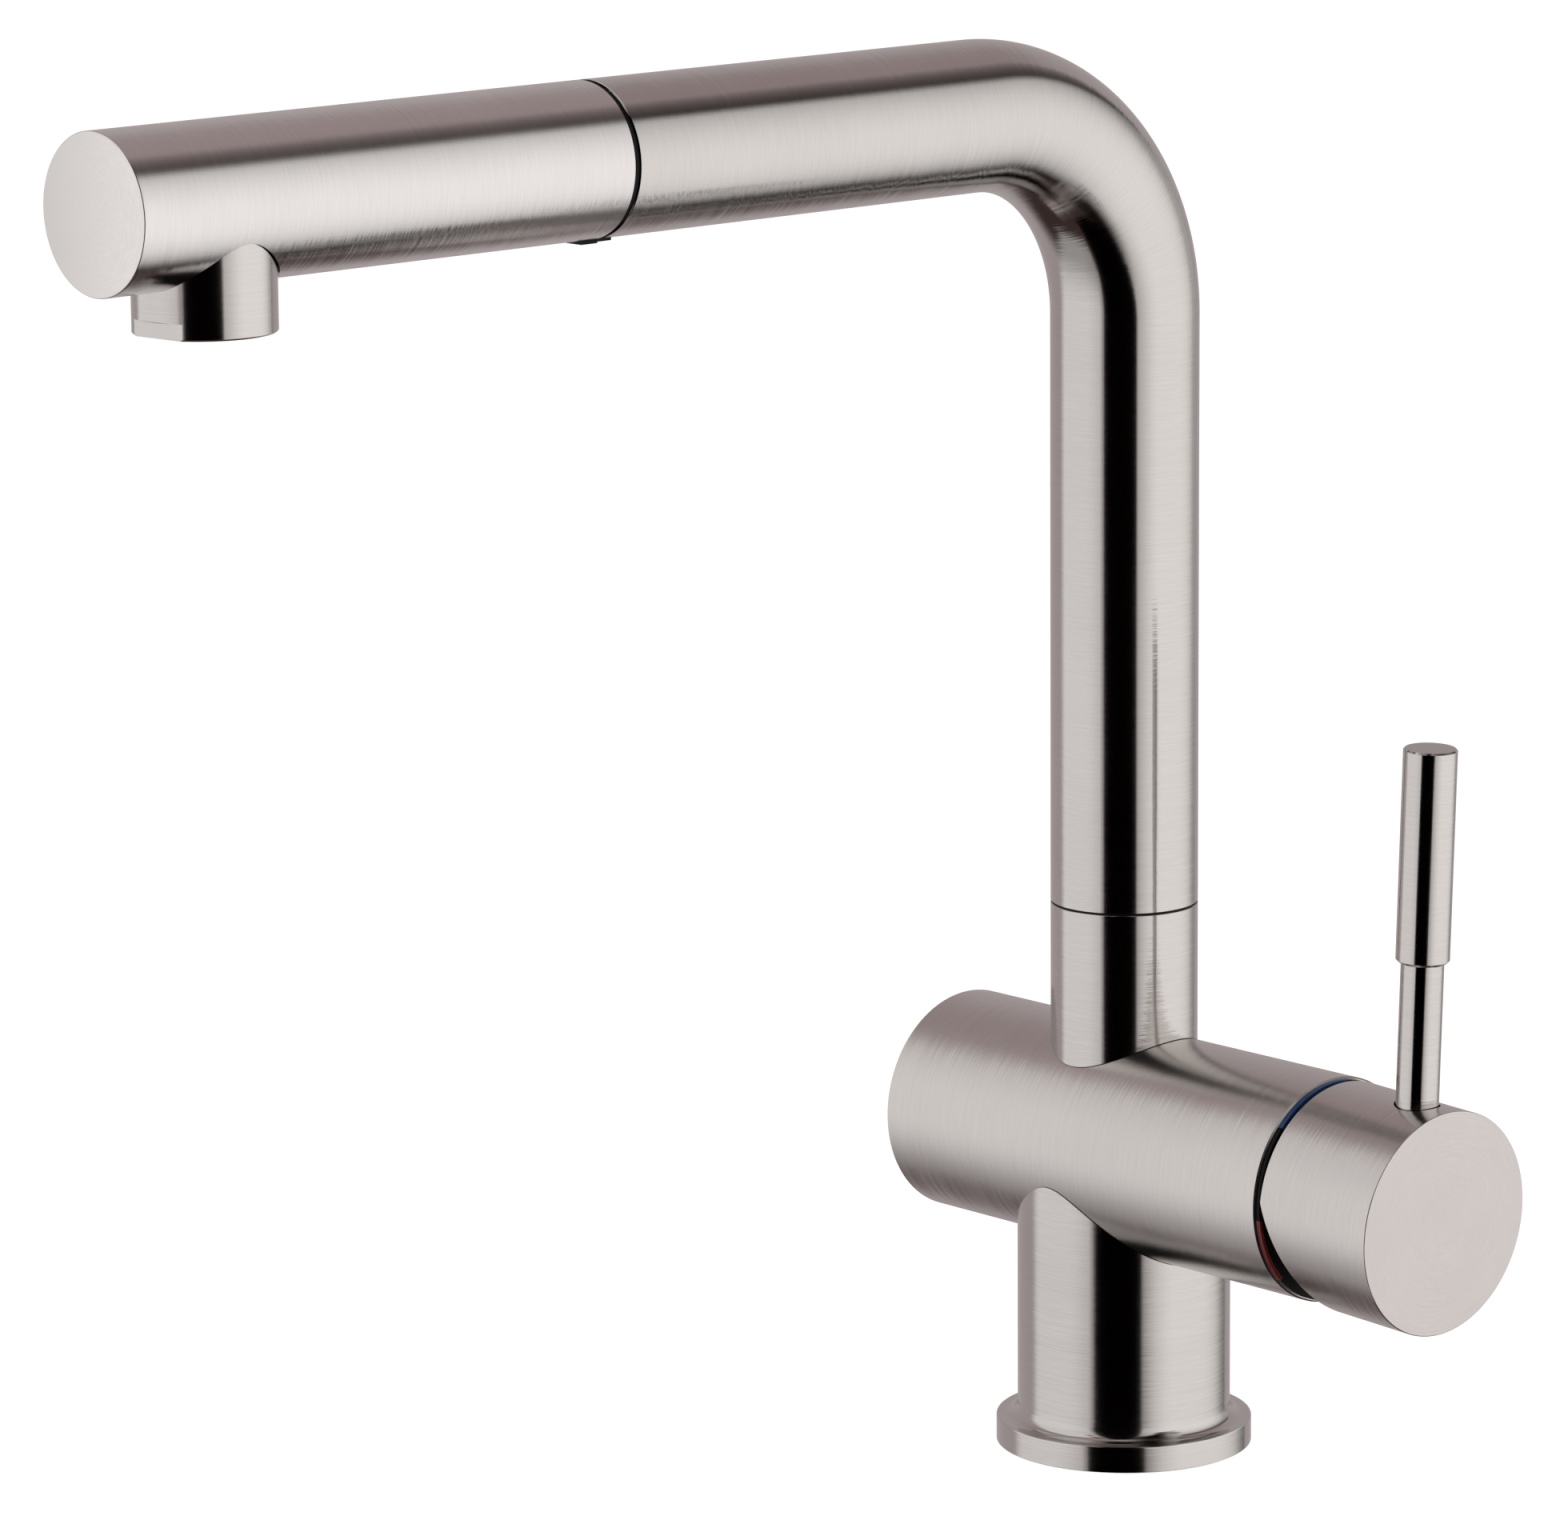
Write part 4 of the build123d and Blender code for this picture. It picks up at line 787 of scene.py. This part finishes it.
def brushed_steel(name, base, roughness=0.11, streak=0.03):
    """Steel that is brushed round the tube: it reads the piece's own two attributes."""
    groove_tilt, groove_wander, scratch_stretch = 0.09, 0.4 * mm, (130, 130, 4200)
    graph = Graph(bpy.data.materials.new(name))
    straight = graph.add("ShaderNodeAttribute", {"attribute_name": "straight_tube"}, out="Vector")
    axis = graph.add("ShaderNodeAttribute", {"attribute_name": "tube_axis"}, out="Vector")
    along = graph.coordinate(straight, "Z") + graph.noise(straight, 90.0, 1.0) * groove_wander
    groove = graph.maths("FLOOR", along * grooves_per_metre)
    scratch = graph.noise(graph.arrow("MULTIPLY", straight, scratch_stretch), 1.0, 3.0, 0.6)
    cloud = graph.noise(straight, 35.0, 2.0)
    worn, dull = scratch * 0.6 + cloud * 0.4, scratch * 0.5 + cloud * 0.5
    slope = (graph.chance(groove) + graph.chance(groove + 0.37) - 1) * groove_tilt
    return graph.principled(
        {
            "Base Color": graph.tint(graph.ease(worn, 0.3, 0.7), shade(base, 0.955), shade(base, 1.035)),
            "Metallic": 1.0,
            "Roughness": graph.ease(dull, 0.3, 0.7, roughness - 0.015, roughness + 0.025),
            "Normal": graph.lean(axis, slope + (scratch - 0.5) * streak),
        }
    )


tube_steel = brushed_steel("brushed_tube_steel", (0.60, 0.575, 0.555))
# The head's steel is the tube steel made lighter: painted light, for the brighter light that falls on the
# head.
head_steel_painted_lighter = brushed_steel("brushed_head_steel", (0.72, 0.693, 0.68), roughness=0.17, streak=0.014)
barrel_steel = brushed_steel("brushed_barrel_steel", (0.62, 0.590, 0.569), roughness=0.23, streak=0.012)
print("brushed steel:", len(tube_steel.node_tree.nodes), "nodes")

# %% [markdown]
# ## Turned end faces
#
# The flat ends of cap, head, grip and end plug were faced on the lathe, so their grooves are
# circles round the centre. The grooves tilt the surface towards or away from the centre.
# That is why such a face shows a soft fan of light that turns with the eye.


# %% Faced steel for flat ends
def faced_steel(name, base, centre, axis, painted_shade_side=(0, 0, 0)):
    """Steel faced on a lathe: its grooves are circles round a centre, and one given side can be painted
    darker as painted shade.
    """
    groove_tilt, roughness, circle_grain, circle_stretch = 0.14, 0.30, 5.0, 2600
    graph = Graph(bpy.data.materials.new(name))
    place = graph.add("ShaderNodeTexCoord", out="Object")
    offset = graph.arrow("SUBTRACT", place, tuple(centre))
    lift = graph.arrow("DOT_PRODUCT", offset, tuple(axis), out="Value")
    flat = graph.arrow("SUBTRACT", offset, graph.arrow("SCALE", tuple(axis), scale=lift))
    reach = graph.arrow("LENGTH", flat, out="Value")
    outward = graph.arrow("NORMALIZE", flat)
    groove = graph.maths("FLOOR", reach * grooves_per_metre)
    turned = graph.arrow("SCALE", tuple(axis), scale=reach * circle_stretch)
    circle = graph.arrow("ADD", graph.arrow("SCALE", outward, scale=circle_grain), turned)
    cloud = graph.noise(place, 60.0, 2.0)
    worn = graph.noise(circle, 1.0, 2.0) * 0.6 + cloud * 0.4
    steel = graph.tint(graph.ease(worn, 0.35, 0.65), shade(base, 0.95), shade(base, 1.03))
    # Darker towards the given side: painted shade; the small cloud term adds a random tone.
    painted_shade_and_tone = graph.arrow("DOT_PRODUCT", offset, painted_shade_side, out="Value") + cloud * 0.008
    return graph.principled(
        {
            "Base Color": graph.tint(graph.ease(painted_shade_and_tone, -0.012, 0.020), steel, shade(base, 0.8)),
            "Metallic": 1.0,
            "Roughness": graph.ease(cloud, 0.3, 0.7, roughness - 0.02, roughness + 0.02),
            "Normal": graph.lean(outward, (graph.chance(groove) - 0.5) * groove_tilt),
        }
    )


def face_off(piece, matrix, height, finish):
    """Give the flat face at one height of a working plane its own finish."""
    piece.data.materials.append(finish)
    back, axis, play = matrix.inverted(), matrix.to_3x3().col[2], 0.02 * mm
    for face in piece.data.polygons:
        if abs((back @ face.center).z - height) < play and abs(face.normal.dot(axis)) > 0.99:
            face.material_index = len(piece.data.materials) - 1


lever_axis, rod_axis = lever_plane.to_3x3().col[2], rod_plane.to_3x3().col[2]
cap_middle, grip_middle = lever_plane @ Vector((0, 0, cap_face)), rod_plane @ Vector((0, 0, grip_end))
head_middle, plug_middle = (0, -head_end, arm_height), (-barrel_left, 0, barrel_height)
cap_steel = faced_steel("faced_cap_steel", (0.675, 0.632, 0.615), cap_middle, lever_axis)
grip_steel = faced_steel("faced_grip_steel", (0.63, 0.607, 0.596), grip_middle, rod_axis)
# The head's end face is much lighter than the other faced ends, which is painted light, and darker towards
# its left side, which is painted shade.
front_steel_painted_light_and_shade = faced_steel("faced_head_steel", (0.82, 0.79, 0.775), head_middle, (0, -1, 0), (-1, 0, 0))
plug_steel = faced_steel("faced_plug_steel", (0.675, 0.647, 0.624), plug_middle, (1, 0, 0))
for piece in (post, riser, spout, nozzle, rod, grip):
    piece.data.materials.append(tube_steel)
head.data.materials.append(head_steel_painted_lighter)
for piece in (barrel, cap):
    piece.data.materials.append(barrel_steel)
face_off(cap, lever_plane, cap_face, cap_steel)
face_off(grip, rod_plane, grip_end, grip_steel)
face_off(head, arm_plane, head_end, front_steel_painted_light_and_shade)
print("faced ends:", [piece.name for piece in (cap, grip, head)])

# %% [markdown]
# ## Plastic, rubber and ceramic
#
# Moulded parts are never one flat colour. The mould leaves a fine grain, the surface is a
# little shinier where it was handled, and the colour has a slow cloudiness. One recipe does
# all of them, with its own colour, shine and grain for each.


# %% Moulded finishes
def moulded(name, base, roughness, grain=900.0, depth=0.06, uneven=0.12, shine=0.5):
    """A moulded or pressed material with a fine grain and a slow unevenness."""
    graph = Graph(bpy.data.materials.new(name))
    place = graph.add("ShaderNodeTexCoord", out="Object")
    fine, slow = graph.noise(place, grain, 3.0), graph.noise(place, 70.0, 2.0)
    cloud = graph.ease(slow * 0.6 + fine * 0.4, 0.3, 0.7)
    return graph.principled(
        {
            "Base Color": graph.tint(cloud, shade(base, 1 - uneven), shade(base, 1 + uneven)),
            "Roughness": graph.ease(slow, 0.3, 0.7, roughness - 0.06, roughness + 0.06),
            "Specular IOR Level": shine,
            "Normal": graph.bump(fine, depth, 0.5 * mm),
        }
    )


# %% [markdown]
# ## Machined metal inside
#
# Brass and plain steel inside the body are seen only when a piece is taken out. They are
# machined, not brushed: a bright metal with fine turning marks and a few dull clouds.


# %% Machined finishes
def machined(name, base, roughness):
    """A machined metal with fine marks and dull clouds."""
    graph = Graph(bpy.data.materials.new(name))
    place = graph.add("ShaderNodeTexCoord", out="Object")
    marks, slow = graph.noise(place, 2400.0, 2.0), graph.noise(place, 120.0, 3.0)
    dull = slow * 0.6 + marks * 0.4
    return graph.principled(
        {
            "Base Color": graph.tint(graph.ease(slow, 0.35, 0.65), shade(base, 0.85), shade(base, 1)),
            "Metallic": 1.0,
            "Roughness": graph.ease(dull, 0.3, 0.7, roughness - 0.05, roughness + 0.08),
            "Normal": graph.bump(marks, 0.08, 0.2 * mm),
        }
    )


# %% [markdown]
# ## Braid of the hose
#
# The hose is covered with a braid of nylon strands that cross each other in two spirals. A
# spiral is a stripe over the sum of angle and length, and the other one over their
# difference. Where a stripe's middle is, the strand is highest. Its colour is lighter on the
# strands' tops and darker in the hollows between them: painted shade.


# %% Braided finish
def braided(name, along, across, centre):
    """A nylon braid round a straight hose whose axis is one of the object's own axes."""
    strands, pitch, dark, light = 10, 2600, (0.10, 0.10, 0.105, 1), (0.36, 0.36, 0.37, 1)
    graph = Graph(bpy.data.materials.new(name))
    place = graph.arrow("SUBTRACT", graph.add("ShaderNodeTexCoord", out="Object"), centre)
    length, first, second = (graph.coordinate(place, axis) for axis in (along, *across))
    turned, climbed = graph.maths("ARCTAN2", second, first) * strands, length * pitch
    spirals = graph.maths("SINE", turned + climbed), graph.maths("SINE", turned - climbed)
    fibre = graph.noise(place, 1800.0, 2.0)
    height = graph.maths("MAXIMUM", *spirals) * 0.8 + fibre * 0.2
    return graph.principled(
        {
            # Darker in the hollows between strands, lighter on their tops: painted shade.
            "Base Color": graph.tint(graph.ease(height, 0.0, 0.9), dark, light),
            "Roughness": graph.ease(fibre, 0.3, 0.7, 0.42, 0.58),
            "Normal": graph.bump(height, 0.5, 0.4 * mm),
        }
    )


# %% Give every CAD piece its finish
finishes = {
    "plain_stainless": machined("plain_steel", (0.56, 0.55, 0.54), 0.30),
    "brass": machined("machined_brass", (0.72, 0.50, 0.22), 0.28),
    "black_plastic": moulded("black_plastic", (0.006, 0.005, 0.005), 0.40, shine=0.12),
    "grey_plastic": moulded("grey_plastic", (0.30, 0.30, 0.31), 0.42),
    "white_plastic": moulded("white_plastic", (0.72, 0.71, 0.68), 0.40, uneven=0.05),
    "ceramic": moulded("polished_ceramic", (0.80, 0.79, 0.76), 0.12, grain=2500.0, depth=0.01, uneven=0.03),
    "black_rubber": moulded("black_rubber", (0.018, 0.018, 0.018), 0.62, grain=1400.0, depth=0.12),
    "blue_inlay": moulded("blue_inlay", (0.010, 0.058, 0.19), 0.30, grain=700.0, depth=0.04, uneven=0.3),
    "red_inlay": moulded("red_inlay", (0.20, 0.012, 0.014), 0.30, grain=700.0, depth=0.04, uneven=0.3),
    "braided_hose": braided("hose_braid_upright", "Z", ("X", "Y"), (0, 0, 0)),
    "brushed_stainless": tube_steel,
}
arm_braid = braided("hose_braid_arm", "Y", ("X", "Z"), (0, 0, arm_height))
slot_of_node = {part["node"]: part["material_slot"] for part in frame["record"]["subparts"]}
for node, piece in frame["nodes"].items():
    piece.data.materials.clear()
    piece.data.materials.append(finishes[slot_of_node[node]])
frame["nodes"]["barrel_end_plug"].data.materials[0] = plug_steel
# The ring is black plastic; the seam band is black as painted shade in the gap.
for piece in (ring, seam_shade_band):
    piece.data.materials.append(finishes["black_plastic"])
hose.data.materials.append(arm_braid)
cold_inlay.data.materials.append(finishes["blue_inlay"])
hot_inlay.data.materials.append(finishes["red_inlay"])
print("finishes:", sorted(finishes))

# %% [markdown]
# ## Camera
#
# The camera stands where the photographer's stood: to the right in front of the faucet and a
# little above it, far away with a long lens, so that upright lines stay nearly parallel.

# %% Camera
camera_place = Vector((1.016377, -0.999404, 0.418811))
azimuth, pitch, roll = radians(48.074), radians(11.309), radians(-0.4516)
ahead = Vector((-sin(azimuth) * cos(pitch), cos(azimuth) * cos(pitch), -sin(pitch)))
level_right = ahead.cross(Vector((0, 0, 1))).normalized()
level_up = level_right.cross(ahead)
right = level_right * cos(roll) + level_up * sin(roll)
up = level_up * cos(roll) - level_right * sin(roll)
camera_data = bpy.data.cameras.new("camera")
camera = bpy.data.objects.new("camera", camera_data)
bpy.context.scene.collection.objects.link(camera)
bpy.context.scene.camera = camera
camera.matrix_world = Matrix.Translation(camera_place) @ Matrix((right, up, -ahead)).transposed().to_4x4()
camera_data.sensor_width, camera_data.lens = 36, 176.073
camera_data.clip_start, camera_data.clip_end = 0.1, 50
print("camera distance:", round(camera_place.length, 3), "m")

# %% [markdown]
# ## Studio
#
# Polished steel shows mostly what stands round it, so the studio is part of its look. A wide
# soft panel in a black frame stands close by on the right, a narrower one on the left, and a
# black strip between them stands for the dark side of the room that the camera looks out of.
# The rest of the room is dim. The camera itself sees none of this, only a white backdrop.
#
# Each of the three is a flat sheet. Its material measures in steps: one step is the sheet's
# own distance, so a place one step aside is seen 45 degrees off the sheet's middle.

# %% The dim room
camera_bearing = atan2(camera_place.y, camera_place.x)
world = bpy.data.worlds.new("studio")
bpy.context.scene.world = world
sky = Graph(world)
rise = sky.coordinate(sky.add("ShaderNodeTexCoord", out="Generated"), "Z")
room = sky.tint(sky.ease(rise, -0.82, -0.557), (0.056, 0.036, 0.034, 1), (0.462, 0.416, 0.422, 1))
room = sky.tint(sky.ease(rise, 0.403, 0.754), room, (0.378, 0.312, 0.314, 1))
straight_view = sky.add("ShaderNodeLightPath", out="Is Camera Ray")
backdrop = sky.tint(straight_view, room, (1, 1, 1, 1))
lit = sky.add("ShaderNodeBackground", sockets={"Color": backdrop, "Strength": 1.0})
sky.add("ShaderNodeOutputWorld", sockets={"Surface": lit})
print("room:", len(sky.tree.nodes), "nodes")


# %% Helpers: hang a sheet and fade its edges
def bearing(degrees_left):
    """A level direction, in degrees to the left of the way to the camera."""
    angle = camera_bearing + radians(degrees_left)
    return Vector((cos(angle), sin(angle), 0))


def hang(name, degrees_left, distance, height, reach):
    """Hang an upright sheet that faces the faucet, and start a material that counts steps."""
    bpy.ops.object.select_all(action="DESELECT")
    bpy.ops.mesh.primitive_plane_add(size=2 * reach * distance)
    sheet = bpy.context.object
    sheet.name = sheet.data.name = name
    middle = bearing(degrees_left) * distance + Vector((0, 0, height))
    sheet.matrix_world = plane(middle, bearing(degrees_left + 90), bearing(degrees_left))
    sheet.visible_camera = False
    graph = Graph(bpy.data.materials.new(name))
    sheet.data.materials.append(graph.owner)
    steps = graph.arrow("SCALE", graph.add("ShaderNodeTexCoord", out="Object"), scale=1 / distance)
    return graph, graph.coordinate(steps, "X"), graph.coordinate(steps, "Y")


def between(graph, signal, low, low_soft, high, high_soft):
    """1 between two places and 0 outside them, each with its own softness."""
    rising = graph.ease(signal, low - low_soft, low + low_soft)
    return rising * graph.ease(signal, high - high_soft, high + high_soft, 1, 0)


def cover(graph, share, under, over):
    """Let one shader cover another by a share."""
    return graph.add("ShaderNodeMixShader", sockets={0: share, 1: under, 2: over})


# %% The soft panel on the right, in its black frame
graph, aside, above = hang("right_panel", 60, distance=0.678, height=0.185, reach=8)
cloth = graph.add("ShaderNodeBsdfDiffuse", sockets={"Color": (0.010, 0.002, 0.001, 1)})
frame_width = between(graph, aside, -0.942, 0.05, 6.811, 0.5)
frame_height = between(graph, above, -3.457, 2.064, 2.517, 2.109)
framed = cover(graph, frame_width * frame_height, graph.add("ShaderNodeBsdfTransparent"), cloth)
glow_width = between(graph, aside, -0.892, 0.07, 7.196, 0.633)
glow_height = between(graph, above, -2.296, 0.8, 1.285, 0.229)
cut_corner = graph.ease(aside + above * 0.708, -1.841, -0.843)
near, middle, far = (0.672, 0.649, 0.638, 1), (1.145, 1.127, 1.118, 1), (0.529, 0.519, 0.508, 1)
glow = graph.tint(graph.ease(aside, -0.9, -0.061), near, middle)
glow = graph.tint(graph.ease(aside, 0.486, 3.125), glow, far)
fade = graph.ease(above, -0.061, 1.8, 1, 0.422) * graph.ease(above, -2.367, -0.178, 0.366, 1)
lamp = graph.add("ShaderNodeEmission", sockets={"Color": graph.arrow("SCALE", glow, scale=fade)})
graph.finish(cover(graph, glow_width * glow_height * cut_corner, framed, lamp))
print("right panel:", len(graph.tree.nodes), "nodes")

# %% The soft panel on the left
graph, aside, above = hang("left_panel", -76, distance=1.085, height=0.076, reach=3)
glow_width = between(graph, aside, -0.724, 0.188, 0.831, 0.03)
glow_height = between(graph, above, -2.156, 0.369, 2.194, 0.273)
fade = graph.ease(above, 0.181, 0.8, 1, 0.899) * graph.ease(above, -1.099, -0.188, 0.462, 1)
fade = fade * graph.ease(aside, 0.224, 0.95, 1, 0.796)
glow = graph.arrow("SCALE", (0.962, 0.948, 0.949), scale=fade)
lamp = graph.add("ShaderNodeEmission", sockets={"Color": glow})
graph.finish(cover(graph, glow_width * glow_height, graph.add("ShaderNodeBsdfTransparent"), lamp))
print("left panel:", len(graph.tree.nodes), "nodes")

# %% The black strip between the panels
graph, aside, above = hang("black_strip", -6, distance=0.66, height=0.15, reach=6)
cloth = graph.add("ShaderNodeBsdfDiffuse", sockets={"Color": (0.0015, 0.0003, 0.0003, 1)})
strip_width = between(graph, aside, -0.491, 0.03, 0.455, 0.04)
graph.finish(cover(graph, strip_width, graph.add("ShaderNodeBsdfTransparent"), cloth))
print("black strip:", len(graph.tree.nodes), "nodes")

# %% [markdown]
# ## Floor
#
# The floor is a plain pale sheet that takes the faucet's soft shadow. A part of its white
# glows for the camera only, so that it runs into the backdrop without throwing more light on
# the faucet. In the photograph the lower sides of the tubes are dark: no white floor shows in
# the steel. So the floor is left out of reflections.

# %% Floor
floor_size, floor_white = 30, 0.8
bpy.ops.object.select_all(action="DESELECT")
bpy.ops.mesh.primitive_plane_add(size=floor_size, location=(0, 0, 0))
floor = bpy.context.object
floor.name = "floor"
floor.visible_glossy = False
ground = Graph(bpy.data.materials.new("floor"))
seen = ground.add("ShaderNodeLightPath", out="Is Camera Ray")
matte = ground.add("ShaderNodeBsdfDiffuse", sockets={"Color": (floor_white, floor_white, floor_white, 1)})
glow = ground.add("ShaderNodeEmission", sockets={"Color": (1, 1, 1, 1), "Strength": seen * floor_white})
floor.data.materials.append(ground.finish(ground.add("ShaderNodeAddShader", sockets={0: matte, 1: glow})))
print("floor:", floor_size, "m wide")

# %% [markdown]
# ## Finish
#
# Colours are shown as they are written, without a film look.

# %% Finish
bpy.context.scene.view_settings.view_transform = "Standard"
